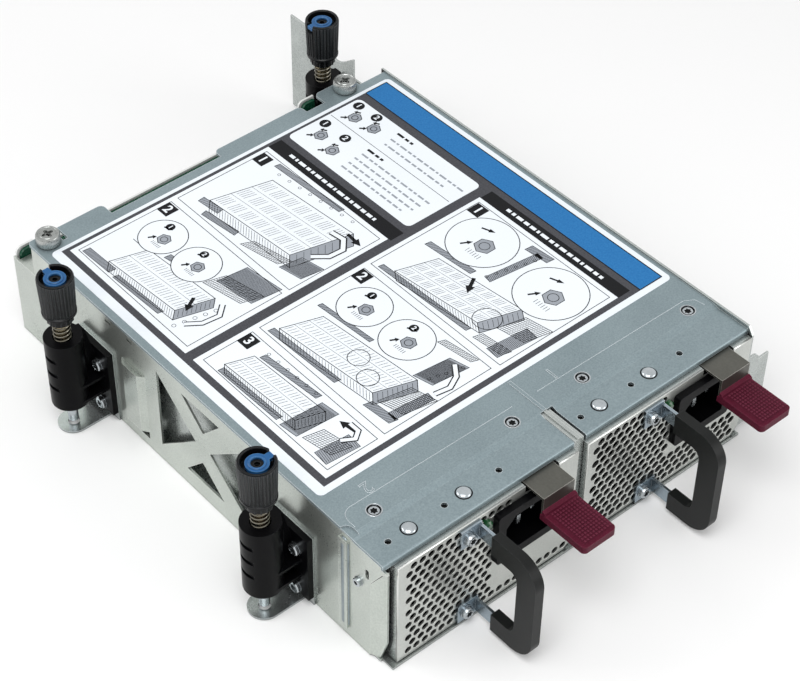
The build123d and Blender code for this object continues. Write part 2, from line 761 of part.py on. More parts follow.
def post(ax, ay, half_w, number):
    """Moulded housing: a bored post with a web and a flange for two screws."""
    flange_x = mount_face(ax) - sheet
    with BuildPart() as housing:
        with BuildSketch(Plane.XY.offset(post_base)):
            with Locations((ax, ay)):
                Circle(post_r)
        extrude(amount=post_h)
        with BuildSketch(Plane.XZ.offset(-(ay - 2))):
            Polygon((ax, post_base), (ax, post_z), (ax + post_r + 1, post_z),
                    (flange_x - flange_t, flange_z2 - 3), (flange_x - flange_t, post_base), align=None)
        extrude(amount=-4)
        for z in (post_base + 2, post_base + 10.5):
            side_box(ax, flange_x - flange_t, ay - post_r, ay + post_r, z - 0.6, z + 0.6)
        side_box(flange_x - flange_t, flange_x, ay - half_w, ay + half_w, flange_z1, flange_z2)
        with Locations((ax, ay, post_z)):
            CounterBoreHole(shaft_r + fit, bore_r, post_z - bore_floor, depth=post_h)
        for z in (post_z - 8.5, post_z - 16.5, post_z - 24.5):
            side_box(ax - post_r - 1, ax - post_r + 1.2, ay - post_r, ay + post_r, z - 1, z + 1,
                     mode=Mode.SUBTRACT)
        with BuildSketch(Plane.YZ.offset(flange_x)):
            with Locations(*[(ay + mount_screw_y, z) for z in mount_screw_z]):
                RegularPolygon(mount_screw_r + 0.1, 6)
        extrude(amount=-3 * flange_t, mode=Mode.SUBTRACT)
    save(housing, f"thumb_{number}_housing")


def sleeve_and_spring(ax, ay, number):
    with BuildPart() as sleeve:
        with BuildSketch(Plane.XY.offset(roof - 0.6)):
            with Locations((ax, ay)):
                Circle(flange_r)
        extrude(amount=knob_lift + 0.6 - slip)
        with BuildSketch(Plane.XY.offset(roof - 0.6)):
            with Locations((ax, ay)):
                Circle(sleeve_r)
        extrude(amount=-sleeve_l)
        with Locations((ax, ay, roof + 1)):
            Hole(shaft_r + slip, depth=2 * sleeve_l)
    save(sleeve, f"thumb_{number}_sleeve")
    turns = 4
    pitch = 1.9
    inner = sleeve_r + 0.2
    top = roof - 0.6
    with BuildPart() as spring:
        with BuildSketch(Plane.XZ.offset(-ay)):
            with BuildLine():
                points = [(ax + inner, bore_floor), (ax + inner, top)]
                for turn in range(turns):
                    points.append((ax + spring_r, top - pitch * (turn + 0.25)))
                    points.append((ax + inner + 0.2, top - pitch * (turn + 0.75)))
                points.append((ax + spring_r, top - pitch * turns))
                points.append((ax + spring_r, bore_floor))
                Polyline(*points, close=True)
            make_face()
        revolve(axis=Axis((ax, ay, 0), (0, 0, 1)))
    save(spring, f"thumb_{number}_spring")


def knob(ax, ay, notch_angle, number):
    bottom = roof + knob_lift
    top = bottom + knob_h
    rib_points = []
    for step in range(2 * rib_count):
        radius = knob_r if step % 2 == 0 else knob_r - 0.5
        angle = pi * step / rib_count
        rib_points.append((ax + radius * cos(angle), ay + radius * sin(angle)))
    with BuildPart() as head:
        with BuildSketch(Plane.XY.offset(top)):
            Polygon(*rib_points, align=None)
        extrude(amount=-(knob_h - 3), taper=knob_taper)
        with BuildSketch(Plane.XY.offset(bottom)):
            with Locations((ax, ay)):
                Circle(5.5)
        with BuildSketch(Plane.XY.offset(bottom + 3)):
            with Locations((ax, ay)):
                Circle(knob_r - 1.2)
        loft()
        with Locations((ax, ay, top)):
            Hole(crown_r, depth=crown_depth)
        with Locations(Location((ax, ay, top - crown_depth / 2), (0, 0, notch_angle))):
            Box(2 * knob_r, tab_slot_w, crown_depth, align=(Align.MIN, Align.CENTER, Align.CENTER),
                mode=Mode.SUBTRACT)
        with Locations((ax, ay, top - crown_depth + 1.15)):
            Cylinder(button_bore - guide_gap, 2.3)
        with Locations((ax, ay, bottom)):
            Hole(shaft_r + slip, depth=10)
    save(head, f"thumb_{number}_knob")
    with BuildPart() as shaft:
        with BuildSketch(Plane.XY.offset(sheet + 0.7)):
            with Locations((ax, ay)):
                Circle(shaft_r)
        extrude(amount=bottom + 9.5 - sheet - 0.7)
        chamfer(shaft.edges().sort_by(Axis.Z)[0], 0.8)
    save(shaft, f"thumb_{number}_shaft")
    button_z = top - crown_depth + button_travel + 0.1
    with BuildPart() as button:
        with BuildSketch(Plane.XY.offset(button_z)):
            with Locations((ax, ay)):
                Circle(button_r)
            with Locations(Location((ax, ay, 0), (0, 0, notch_angle))):
                Rectangle(knob_r - 0.8, tab_slot_w - 2 * fit, align=(Align.MIN, Align.CENTER))
            with Locations((ax, ay)):
                Circle(button_bore, mode=Mode.SUBTRACT)
        extrude(amount=button_t)
    save(button, f"thumb_{number}_button")


for index, (ax, ay, half_w) in enumerate(screw_places):
    number = index + 1
    post(ax, ay, half_w, number)
    sleeve_and_spring(ax, ay, number)
    knob(ax, ay, (0, 90, 180)[index], number)

# Feet under the thumbscrews, and the screws that hold posts and feet
with BuildPart() as feet:
    for ax, ay, half_w in screw_places:
        face_x = mount_face(ax)
        side_box(face_x - sheet, face_x, ay - half_w, ay + half_w, 0, flange_z2)
        side_box(ax, face_x, ay - foot_r, ay + foot_r, 0, sheet)
        with Locations((ax, ay, sheet / 2)):
            Cylinder(foot_r, sheet)
    with Locations(*[(ax, ay, sheet) for ax, ay, half_w in screw_places]):
        Hole(shaft_r + fit, depth=2 * sheet)
    for ax, ay, half_w in screw_places:
        with BuildSketch(Plane.YZ.offset(mount_face(ax))):
            with Locations(*[(ay + mount_screw_y, z) for z in mount_screw_z]):
                RegularPolygon(mount_screw_r + 0.1, 6)
        extrude(amount=-2 * sheet, mode=Mode.SUBTRACT)
save(feet, "mount_feet")

with BuildPart() as mount_screws:
    for ax, ay, half_w in screw_places:
        seat = Plane.YZ.offset(mount_face(ax) - sheet - flange_t)
        places = [(ay + mount_screw_y, z) for z in mount_screw_z]
        with BuildSketch(seat):
            with Locations(*places):
                RegularPolygon(3.2, 12)
        extrude(amount=-2.2, taper=8)
        with BuildSketch(seat):
            with Locations(*places):
                RegularPolygon(mount_screw_r, 6)
        extrude(amount=flange_t + 2 * sheet)
save(mount_screws, "mount_screws")
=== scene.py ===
import json
from math import asin, cos, hypot, pi, radians, sin

import bmesh
import bpy
from mathutils import Matrix, Vector


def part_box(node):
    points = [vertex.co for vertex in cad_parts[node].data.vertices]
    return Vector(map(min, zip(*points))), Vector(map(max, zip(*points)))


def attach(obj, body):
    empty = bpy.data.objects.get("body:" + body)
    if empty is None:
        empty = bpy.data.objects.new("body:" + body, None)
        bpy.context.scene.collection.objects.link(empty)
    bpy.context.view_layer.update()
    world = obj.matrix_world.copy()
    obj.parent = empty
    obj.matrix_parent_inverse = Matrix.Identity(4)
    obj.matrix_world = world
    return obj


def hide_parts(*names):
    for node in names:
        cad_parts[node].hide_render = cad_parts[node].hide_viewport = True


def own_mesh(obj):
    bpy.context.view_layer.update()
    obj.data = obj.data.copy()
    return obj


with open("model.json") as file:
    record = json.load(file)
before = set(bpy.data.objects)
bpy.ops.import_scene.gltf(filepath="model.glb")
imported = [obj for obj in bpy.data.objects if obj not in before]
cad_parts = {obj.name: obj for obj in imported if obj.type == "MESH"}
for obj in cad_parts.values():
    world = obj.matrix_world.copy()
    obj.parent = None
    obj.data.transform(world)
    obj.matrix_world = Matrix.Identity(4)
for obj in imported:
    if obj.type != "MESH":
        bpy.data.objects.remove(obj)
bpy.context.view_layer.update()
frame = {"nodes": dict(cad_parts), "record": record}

nodes = frame["nodes"]
mm = 0.001

# Camera, from the photograph's vanishing points
photo_w = 800
focal_px = 2126.9
camera_azimuth = radians(-37.36)
camera_height = radians(43.76)
camera_roll = radians(-2.03)
camera_place = Vector((-416.05, -502.5, 652.0)) * mm
photo_centre_shift = (0.1398, -0.01055)


def add_camera():
    back = Vector((sin(camera_azimuth) * cos(camera_height),
                   -cos(camera_azimuth) * cos(camera_height), sin(camera_height)))
    right = (-back).cross(Vector((0, 0, 1))).normalized()
    up = right.cross(-back)
    turned_right = right * cos(camera_roll) + up * sin(camera_roll)
    turned_up = up * cos(camera_roll) - right * sin(camera_roll)
    data = bpy.data.cameras.new("camera")
    data.sensor_width = 36
    data.lens = focal_px / photo_w * data.sensor_width
    data.shift_x, data.shift_y = photo_centre_shift
    data.clip_start = 0.01
    camera = bpy.data.objects.new("camera", data)
    basis = Matrix((turned_right, turned_up, back)).transposed().to_4x4()
    camera.matrix_world = Matrix.Translation(camera_place) @ basis
    bpy.context.scene.collection.objects.link(camera)
    bpy.context.scene.camera = camera


# Shader helpers
def srgb(red, green, blue):
    """A colour given as on screen, 0 to 255, in linear light."""
    def linear(value):
        value = value / 255
        return value / 12.92 if value <= 0.04045 else ((value + 0.055) / 1.055) ** 2.4
    return (linear(red), linear(green), linear(blue), 1)


def new_group(name, inputs, outputs):
    """An empty shader group with named inputs and outputs."""
    group = bpy.data.node_groups.new(name, "ShaderNodeTree")
    for label, kind, value in inputs:
        socket = group.interface.new_socket(label, in_out="INPUT", socket_type=kind)
        if value is not None:
            socket.default_value = value
    for label, kind in outputs:
        group.interface.new_socket(label, in_out="OUTPUT", socket_type=kind)
    start = group.nodes.new("NodeGroupInput")
    end = group.nodes.new("NodeGroupOutput")
    return group, start, end


def wire(group, *rows):
    """Links given as node, output, node, input."""
    for source, output, target, entry in rows:
        group.links.new(source.outputs[output], target.inputs[entry])


def mottle_group():
    """Soft cloudy change between two colours, with a fine speckle, and the mask of both."""
    group, start, end = new_group(
        "mottle",
        [("Dark", "NodeSocketColor", None), ("Light", "NodeSocketColor", None),
         ("Cloud scale", "NodeSocketFloat", 20.0), ("Speckle scale", "NodeSocketFloat", 900.0),
         ("Speckle", "NodeSocketFloat", 0.3)],
        [("Color", "NodeSocketColor"), ("Mask", "NodeSocketFloat")])
    tree = group.nodes
    place = tree.new("ShaderNodeTexCoord")
    cloud = tree.new("ShaderNodeTexNoise")
    cloud.inputs["Detail"].default_value = 3
    speckle = tree.new("ShaderNodeTexNoise")
    speckle.inputs["Detail"].default_value = 2
    mix = tree.new("ShaderNodeMix")
    blend = tree.new("ShaderNodeMix")
    blend.data_type = "RGBA"
    wire(group,
         (place, "Object", cloud, "Vector"), (place, "Object", speckle, "Vector"),
         (start, "Cloud scale", cloud, "Scale"), (start, "Speckle scale", speckle, "Scale"),
         (start, "Speckle", mix, "Factor"), (cloud, "Fac", mix, "A"), (speckle, "Fac", mix, "B"),
         (mix, "Result", blend, "Factor"), (start, "Dark", blend, "A"), (start, "Light", blend, "B"),
         (blend, "Result", end, "Color"), (mix, "Result", end, "Mask"))
    return group


def scaled_mask(group, source, output, from_min, from_max, start, end):
    """A value spread between two limits, times the group's amount."""
    spread = group.nodes.new("ShaderNodeMapRange")
    spread.inputs["From Min"].default_value = from_min
    spread.inputs["From Max"].default_value = from_max
    times = group.nodes.new("ShaderNodeMath")
    times.operation = "MULTIPLY"
    wire(group, (source, output, spread, "Value"), (spread, "Result", times, 0), (start, "Amount", times, 1),
         (times, "Value", end, "Mask"))


def edge_group():
    """Where the surface has an outside edge or corner: the mask of a painted highlight."""
    group, start, end = new_group(
        "edge_highlight",
        [("Width", "NodeSocketFloat", 0.0006), ("Amount", "NodeSocketFloat", 1.0)],
        [("Mask", "NodeSocketFloat")])
    bevel = group.nodes.new("ShaderNodeBevel")
    bevel.samples = 4
    geometry = group.nodes.new("ShaderNodeNewGeometry")
    dot = group.nodes.new("ShaderNodeVectorMath")
    dot.operation = "DOT_PRODUCT"
    wire(group,
         (start, "Width", bevel, "Radius"), (bevel, "Normal", dot, 0), (geometry, "True Normal", dot, 1))
    scaled_mask(group, dot, "Value", 0.995, 0.85, start, end)
    return group


def grain_group():
    """A fine moulded or rolled grain, as a normal."""
    group, start, end = new_group(
        "fine_grain",
        [("Scale", "NodeSocketFloat", 1500.0), ("Depth", "NodeSocketFloat", 0.00002),
         ("Strength", "NodeSocketFloat", 0.4)],
        [("Normal", "NodeSocketVector")])
    place = group.nodes.new("ShaderNodeTexCoord")
    noise = group.nodes.new("ShaderNodeTexNoise")
    noise.inputs["Detail"].default_value = 2
    bump = group.nodes.new("ShaderNodeBump")
    wire(group,
         (place, "Object", noise, "Vector"), (start, "Scale", noise, "Scale"),
         (start, "Depth", bump, "Distance"), (start, "Strength", bump, "Strength"),
         (noise, "Fac", bump, "Height"), (bump, "Normal", end, "Normal"))
    return group


def crevice_group():
    """Where the surface is shut in by what stands close to it: the mask of painted shade."""
    group, start, end = new_group(
        "crevice_shade",
        [("Distance", "NodeSocketFloat", 0.003), ("Amount", "NodeSocketFloat", 1.0)],
        [("Mask", "NodeSocketFloat")])
    shut_in = group.nodes.new("ShaderNodeAmbientOcclusion")
    shut_in.samples = 8
    wire(group, (start, "Distance", shut_in, "Distance"))
    scaled_mask(group, shut_in, "AO", 0.85, 0.25, start, end)
    return group


mottle = mottle_group()
edge_highlight = edge_group()
fine_grain = grain_group()
crevice_shade = crevice_group()


def add_effect(tree, group, **values):
    """A shared effect, with its values given by the names of its sockets."""
    effect = tree.new("ShaderNodeGroup")
    effect.node_tree = group
    for socket, value in values.items():
        effect.inputs[socket.capitalize().replace("_", " ")].default_value = value
    return effect


def mix_colour(tree, link, mask, under, over):
    """A colour laid over another where the mask is white."""
    mix = tree.new("ShaderNodeMix")
    mix.data_type = "RGBA"
    mix.inputs["B"].default_value = over
    link.new(mask.outputs["Mask"], mix.inputs["Factor"])
    link.new(under, mix.inputs["A"])
    return mix.outputs["Result"]


def finish_material(name, dark, light, metallic, roughness, cloud=20.0, speckle_scale=900.0, speckle=0.3,
                    grain_scale=1500.0, grain_depth=0.00002, grain=0.4, edge=None, crevice=0.0,
                    crevice_distance=0.003, coat=0.0, specular=0.5):
    """A procedural finish: mottled colour, fine grain, painted highlights on the edges and painted shade in
    the corners.

    Colours are as on screen; edge gives the colour of the painted edge highlight, its width and how strong
    it is.
    """
    material = bpy.data.materials.new(name)
    material.use_nodes = True
    tree, link = material.node_tree.nodes, material.node_tree.links
    shader = tree["Principled BSDF"]
    colour = add_effect(tree, mottle, dark=srgb(*dark), light=srgb(*light), cloud_scale=cloud,
                        speckle_scale=speckle_scale, speckle=speckle)
    surface = add_effect(tree, fine_grain, scale=grain_scale, depth=grain_depth, strength=grain)
    link.new(surface.outputs["Normal"], shader.inputs["Normal"])
    rough = tree.new("ShaderNodeMapRange")
    rough.inputs["To Min"].default_value, rough.inputs["To Max"].default_value = roughness
    link.new(colour.outputs["Mask"], rough.inputs["Value"])
    link.new(rough.outputs["Result"], shader.inputs["Roughness"])
    result = colour.outputs["Color"]
    # painted shade: the colour darkens where the surface is shut in by near parts
    if crevice:
        corners = add_effect(tree, crevice_shade, distance=crevice_distance, amount=crevice)
        result = mix_colour(tree, link, corners, result, [0.12 * part for part in srgb(*dark)[:3]] + [1])
    # painted highlight: a lighter colour along outside edges
    if edge:
        edge_colour, width, amount = edge
        edges = add_effect(tree, edge_highlight, width=width, amount=amount)
        result = mix_colour(tree, link, edges, result, srgb(*edge_colour))
    link.new(result, shader.inputs["Base Color"])
    shader.inputs["Metallic"].default_value = metallic
    shader.inputs["Coat Weight"].default_value = coat
    shader.inputs["Specular IOR Level"].default_value = specular
    return material


def printed(name, dark, light, speckle=0.3):
    """Ink on the label's film."""
    return finish_material(name, dark, light, 0.0, (0.45, 0.55), speckle=speckle, speckle_scale=1300.0,
                           grain=0.1, specular=0.12)


# each edge entry below is a painted highlight, and each crevice entry is painted shade
materials = {
    "galvanised_steel": finish_material(
        "galvanised_cover", (96, 111, 117), (158, 173, 177), 0.6, (0.34, 0.5), cloud=35.0, speckle=0.65,
        speckle_scale=1500.0, edge=((225, 232, 235), 0.0005, 0.85), crevice=0.7),
    "cage_steel": finish_material(
        "galvanised_side", (124, 130, 129), (208, 213, 210), 0.85, (0.2, 0.34), cloud=60.0, speckle=0.5,
        speckle_scale=1300.0, edge=((238, 240, 238), 0.0004, 0.75), crevice=0.85),
    "cream_steel": finish_material(
        "pale_galvanised_side", (138, 146, 140), (222, 227, 220), 0.85, (0.22, 0.36), cloud=40.0,
        speckle=0.5, speckle_scale=1300.0, edge=((242, 244, 240), 0.0004, 0.8), crevice=0.5,
        crevice_distance=0.0025),
    "face_steel": finish_material(
        "supply_face", (160, 164, 160), (224, 226, 221), 0.75, (0.26, 0.4), cloud=50.0, speckle=0.5,
        speckle_scale=1300.0, edge=((245, 245, 242), 0.00025, 0.6), crevice=0.9, crevice_distance=0.004),
    "bright_steel": finish_material(
        "bright_zinc", (140, 148, 152), (205, 210, 213), 0.95, (0.14, 0.26), cloud=150.0,
        edge=((240, 243, 246), 0.0002, 0.6), crevice=0.9, crevice_distance=0.002),
    "bracket_zinc": finish_material(
        "blue_zinc", (120, 134, 144), (178, 190, 198), 0.95, (0.16, 0.3), cloud=110.0,
        edge=((232, 238, 242), 0.0003, 0.7), crevice=0.85),
    "foot_zinc": finish_material(
        "foot_zinc", (138, 144, 144), (206, 211, 210), 0.9, (0.2, 0.32), cloud=90.0, speckle=0.4,
        edge=((225, 228, 230), 0.0004, 0.7), crevice=0.8),
    "captive_zinc": finish_material(
        "knurled_zinc", (118, 121, 119), (176, 179, 177), 0.9, (0.22, 0.34), cloud=200.0, speckle=0.5,
        edge=((225, 227, 225), 0.0003, 0.5), crevice=0.9, crevice_distance=0.0015),
    "brass": finish_material(
        "turned_bronze", (112, 100, 76), (190, 178, 148), 0.95, (0.2, 0.32), cloud=160.0, crevice=0.8),
    "spring_wire": finish_material(
        "spring_wire", (88, 84, 74), (150, 146, 134), 0.95, (0.18, 0.3), cloud=200.0, crevice=0.9),
    "latch_steel": finish_material(
        "spring_steel", (76, 76, 71), (106, 105, 99), 0.8, (0.32, 0.42), cloud=90.0, speckle=0.5,
        edge=((205, 203, 196), 0.0004, 0.8), crevice=0.6),
    "black_plastic": finish_material(
        "black_moulding", (4, 4, 5), (10, 10, 12), 0.0, (0.26, 0.38), cloud=80.0, grain_depth=0.00003,
        edge=((44, 47, 50), 0.0003, 0.4), specular=0.07),
    "knob_plastic": finish_material(
        "knob_moulding", (6, 7, 8), (16, 17, 19), 0.0, (0.2, 0.3), cloud=80.0, grain_depth=0.00002,
        edge=((96, 100, 102), 0.00025, 0.5), specular=0.16, crevice=0.6, crevice_distance=0.002),
    "handle_plastic": finish_material(
        "handle_moulding", (9, 10, 10), (22, 24, 23), 0.0, (0.34, 0.46), cloud=60.0, speckle=0.5,
        grain_depth=0.00004, edge=((58, 61, 61), 0.0005, 0.35), specular=0.2),
    "maroon_plastic": finish_material(
        "maroon_moulding", (52, 6, 22), (100, 30, 52), 0.0, (0.4, 0.55), cloud=300.0, speckle=0.7,
        speckle_scale=1700.0, grain_scale=1300.0, grain_depth=0.00012, grain=0.8,
        edge=((122, 56, 76), 0.0005, 0.45), specular=0.12),
    "blue_plastic": finish_material(
        "blue_button", (18, 66, 118), (44, 104, 158), 0.0, (0.2, 0.3), cloud=200.0,
        edge=((130, 178, 214), 0.0003, 0.5), specular=0.25, crevice=0.9, crevice_distance=0.0015),
    "green_board": finish_material(
        "green_board", (8, 50, 36), (18, 82, 58), 0.0, (0.2, 0.35), cloud=300.0, specular=0.3),
    "white_insulator": finish_material(
        "white_insulator", (214, 216, 214), (232, 233, 231), 0.0, (0.4, 0.5), crevice=0.5),
    "led_lens": finish_material(
        "green_lens", (12, 46, 28), (44, 96, 58), 0.0, (0.08, 0.15), cloud=400.0, coat=0.4, crevice=0.5),
    # painted shade: a near-black finish for the discs and rings laid in recesses and round rivets
    "recess_shade": finish_material("recess_shade", (9, 10, 11), (20, 21, 22), 0.0, (0.5, 0.6), specular=0.1),
    # painted shade: the rib's steel is darker than the wall's
    "groove_shade_steel": finish_material(
        "groove_shade_steel", (104, 116, 122), (164, 174, 178), 0.85, (0.26, 0.36), cloud=120.0, speckle=0.5,
        crevice=0.6),
    "label_paper": finish_material(
        "label_film", (222, 229, 235), (236, 241, 246), 0.0, (0.36, 0.46), grain=0.1, speckle=0.5,
        specular=0.2),
    "print_dark": printed("print_dark_grey", (48, 49, 53), (86, 87, 92), 0.85),
    "print_black": printed("print_black", (12, 13, 15), (24, 25, 28)),
    "print_blue": printed("print_blue", (24, 94, 156), (56, 128, 186), 0.85),
    "print_grey": printed("print_grey", (128, 134, 142), (172, 177, 184)),
    "print_white": printed("print_white", (226, 232, 238), (238, 243, 247)),
}

# Which finish each CAD node takes: the record's, or another
record_slot = {row["node"]: row["material_slot"] for row in frame["record"]["subparts"]}
node_finish = dict(record_slot)
other_finish = {
    "cage_steel": ["right_wall", "cage_floor", "rear_bracket", "bay_divider", "psu_1_case", "psu_2_case"],
    "foot_zinc": ["mount_feet"],
    "face_steel": ["psu_1_face", "psu_2_face"],
    "latch_steel": ["psu_1_latch_plate", "psu_2_latch_plate"],
    "bracket_zinc": ["psu_1_handle_brackets", "psu_2_handle_brackets"],
}
for finish, names in other_finish.items():
    node_finish.update(dict.fromkeys(names, finish))


# Nodes with rounded edges, and by how much
rounded_nodes = {name: 0.18 * mm for name in ("mount_feet", "rear_bracket")}
for supply_number in (1, 2):
    for part, radius in (("latch_tab", 0.8), ("handle", 1.1), ("latch_plate", 0.2), ("inlet", 0.4)):
        rounded_nodes[f"psu_{supply_number}_{part}"] = radius * mm
for thumb_number in (1, 2, 3):
    for part, radius in (("housing", 0.45), ("button", 0.25)):
        rounded_nodes[f"thumb_{thumb_number}_{part}"] = radius * mm


def dress_nodes():
    for name, node in nodes.items():
        node.data.materials.clear()
        node.data.materials.append(materials[node_finish[name]])
        if name in rounded_nodes:
            edge = node.modifiers.new("rounded_edges", "BEVEL")
            edge.width = rounded_nodes[name]
            edge.segments = 3
            edge.limit_method = "ANGLE"
            edge.angle_limit = radians(40)
            edge.use_clamp_overlap = True


# Mesh helpers. A shape is a pair of lists, its vertices and its faces
def piece_from(name, shape, finish, body, replaced=(), smooth=False):
    mesh = bpy.data.meshes.new(name)
    mesh.from_pydata(shape[0], [], shape[1])
    mesh.validate()
    bm = bmesh.new()
    bm.from_mesh(mesh)
    bmesh.ops.recalc_face_normals(bm, faces=bm.faces)
    bm.to_mesh(mesh)
    bm.free()
    return place_piece(name, mesh, finish, body, replaced, smooth)


def place_piece(name, mesh, finish, body, replaced=(), smooth=False):
    piece = bpy.data.objects.new(name, mesh)
    bpy.context.scene.collection.objects.link(piece)
    mesh.materials.clear()
    mesh.materials.append(materials[finish])
    if smooth:
        mesh.shade_smooth()
        mesh.set_sharp_from_angle(angle=radians(35))
    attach(piece, body)
    if replaced:
        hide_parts(*replaced)
    return piece


def prism(shape, outline, low, high):
    """Adds a closed prism over an outline of (x, y) points."""
    vertices, faces = shape
    start = len(vertices)
    count = len(outline)
    vertices += [(x, y, low) for x, y in outline] + [(x, y, high) for x, y in outline]
    faces.append(tuple(start + i for i in reversed(range(count))))
    faces.append(tuple(start + count + i for i in range(count)))
    for i in range(count):
        j = (i + 1) % count
        faces.append((start + i, start + j, start + count + j, start + count + i))


def turned(shape, profile, place, axis=(0, 0, 1), sides=48, ripple=None, closed=False):
    """Adds a turned solid: profile of (radius, height) in millimetres, from its foot round to its middle.

    ripple(angle, index, radius, height) moves a point; a closed profile makes a ring.
    """
    vertices, faces = shape
    start = len(vertices)
    lie = Vector((0, 0, 1)).rotation_difference(Vector(axis)).to_matrix()
    for index, (radius, height) in enumerate(profile):
        for side in range(sides):
            angle = 2 * pi * side / sides
            r, h = ripple(angle, index, radius, height) if ripple else (radius, height)
            vertices.append(tuple(Vector(place) + lie @ Vector((r * cos(angle), r * sin(angle), h)) * mm))
    rows = len(profile)
    for index in range(rows if closed else rows - 1):
        near, far = start + index * sides, start + (index + 1) % rows * sides
        for side in range(sides):
            after = (side + 1) % sides
            faces.append((near + side, near + after, far + after, far + side))
    if not closed:
        faces.append(tuple(start + side for side in reversed(range(sides))))
        faces.append(tuple(start + (rows - 1) * sides + side for side in range(sides)))


def separate_solids(name):
    """Lowest and highest corner of each solid of a CAD node."""
    bm = bmesh.new()
    bm.from_mesh(nodes[name].data)
    bmesh.ops.remove_doubles(bm, verts=bm.verts, dist=1e-6)
    bm.verts.index_update()
    boxes, seen = [], set()
    for first in bm.verts:
        if first.index in seen:
            continue
        seen.add(first.index)
        queue, solid = [first], []
        while queue:
            vertex = queue.pop()
            solid.append(vertex.co.copy())
            for edge in vertex.link_edges:
                other = edge.other_vert(vertex)
                if other.index not in seen:
                    seen.add(other.index)
                    queue.append(other)
        boxes.append((Vector(map(min, zip(*solid))), Vector(map(max, zip(*solid)))))
    bm.free()
    return boxes


def mesh_of_curve(curve):
    holder = bpy.data.objects.new(curve.name, curve)
    bpy.context.scene.collection.objects.link(holder)
    bpy.context.view_layer.update()
    mesh = bpy.data.meshes.new_from_object(holder.evaluated_get(bpy.context.evaluated_depsgraph_get()))
    bpy.data.objects.remove(holder)
    return mesh


def figure_mesh(text, size):
    words = bpy.data.curves.new("figure_" + text, "FONT")
    words.body = text
    words.size = size * mm
    words.align_x = "CENTER"
    words.align_y = "CENTER"
    return words


# Printed label: fields of colour, panels with plain figures, on the cover's label
label_low, label_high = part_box("cover_label")
label_edge = (-2.3, 40.1)
ink = 0.015 * mm
ink_fill = 0.6 * ink
digit_level = 10.5
# Each layer of print: its finish and how many films it lies above the label
print_layers = {"field": ("print_dark", 1), "band": ("print_blue", 2), "panel": ("print_white", 3),
                "shade": ("print_grey", 4), "tint": ("print_grey", 5), "line": ("print_black", 6),
                "lens": ("print_white", 7), "lens_tint": ("print_grey", 8), "lens_line": ("print_black", 9),
                "figure": ("print_white", 10)}
print_shapes = {name: [] for name in print_layers}
digits = []


def spot(x, y):
    """A place on the label, given in millimetres from the cage's front left pad, in metres."""
    return (label_low.x + (x - label_edge[0]) * mm, label_low.y + (y - label_edge[1]) * mm)


def polygon(layer, points):
    print_shapes[layer].append([spot(x, y) for x, y in points])


def patch(layer, x1, x2, y1, y2, corner=0.0):
    steps = 5 if corner else 1
    outline = []
    for cx, cy, start in ((x2 - corner, y2 - corner, 0), (x1 + corner, y2 - corner, 90),
                          (x1 + corner, y1 + corner, 180), (x2 - corner, y1 + corner, 270)):
        for step in range(steps):
            angle = radians(start + 90 * step / max(steps - 1, 1))
            outline.append((cx + corner * cos(angle), cy + corner * sin(angle)))
    polygon(layer, outline)


def around(x, y, radius, sides=32):
    angles = [2 * pi * i / sides for i in range(sides)]
    return [(x + radius * cos(angle), y + radius * sin(angle)) for angle in angles]


def stroke(layer, points, width, closed=False):
    """A line of even width through the points, mitred at each."""
    count = len(points)
    sides = []
    for (x1, y1), (x2, y2) in zip(points, points[1:] + points[:1]):
        length = hypot(x2 - x1, y2 - y1)
        sides.append((-(y2 - y1) / length, (x2 - x1) / length))
    edges = []
    for i, (x, y) in enumerate(points):
        after = sides[i] if closed or i < count - 1 else sides[i - 1]
        before = sides[i - 1] if closed or i else after
        reach = width / 2 / (1 + before[0] * after[0] + before[1] * after[1])
        dx, dy = (before[0] + after[0]) * reach, (before[1] + after[1]) * reach
        edges.append(((x + dx, y + dy), (x - dx, y - dy)))
    for i in range(count if closed else count - 1):
        (a, b), (c, d) = edges[i], edges[(i + 1) % count]
        polygon(layer, [a, b, d, c])


def frame_line(layer, x1, x2, y1, y2, width):
    stroke(layer, [(x1, y1), (x2, y1), (x2, y2), (x1, y2)], width, closed=True)


def arrow(x, y, length, degrees_turned, width=1.6, layer="line"):
    c, s = cos(radians(degrees_turned)), sin(radians(degrees_turned))
    shape = [(0, -width / 2), (length * 0.55, -width / 2), (length * 0.55, -width * 1.3), (length, 0),
             (length * 0.55, width * 1.3), (length * 0.55, width / 2), (0, width / 2)]
    polygon(layer, [(x + c * a - s * b, y + s * a + c * b) for a, b in shape])


class SlantedArea:
    """A slanting four-sided area with its own two directions."""

    def __init__(self, start, along, across):
        self.start, self.along, self.across = start, along, across

    def at(self, s, t):
        return (self.start[0] + self.along[0] * s + self.across[0] * t,
                self.start[1] + self.along[1] * s + self.across[1] * t)

    def corners(self):
        return [self.at(0, 0), self.at(1, 0), self.at(1, 1), self.at(0, 1)]

    def outline(self, width):
        stroke("line", self.corners(), width, closed=True)

    def lines_across(self, count, width, t1=0.0, t2=1.0):
        for i in range(1, count):
            stroke("line", [self.at(i / count, t1), self.at(i / count, t2)], width)

    def lines_along(self, count, width):
        for i in range(1, count):
            stroke("line", [self.at(0, i / count), self.at(1, i / count)], width)

    def louvres(self, rows, columns, marks, width):
        for row in range(rows):
            for column in range(columns):
                for mark in range(marks):
                    s = (row + 0.2 + 0.6 * mark / (marks - 1)) / rows
                    ends = [self.at(s, (column + share) / columns) for share in (0.18, 0.82)]
                    stroke("line", ends, width)


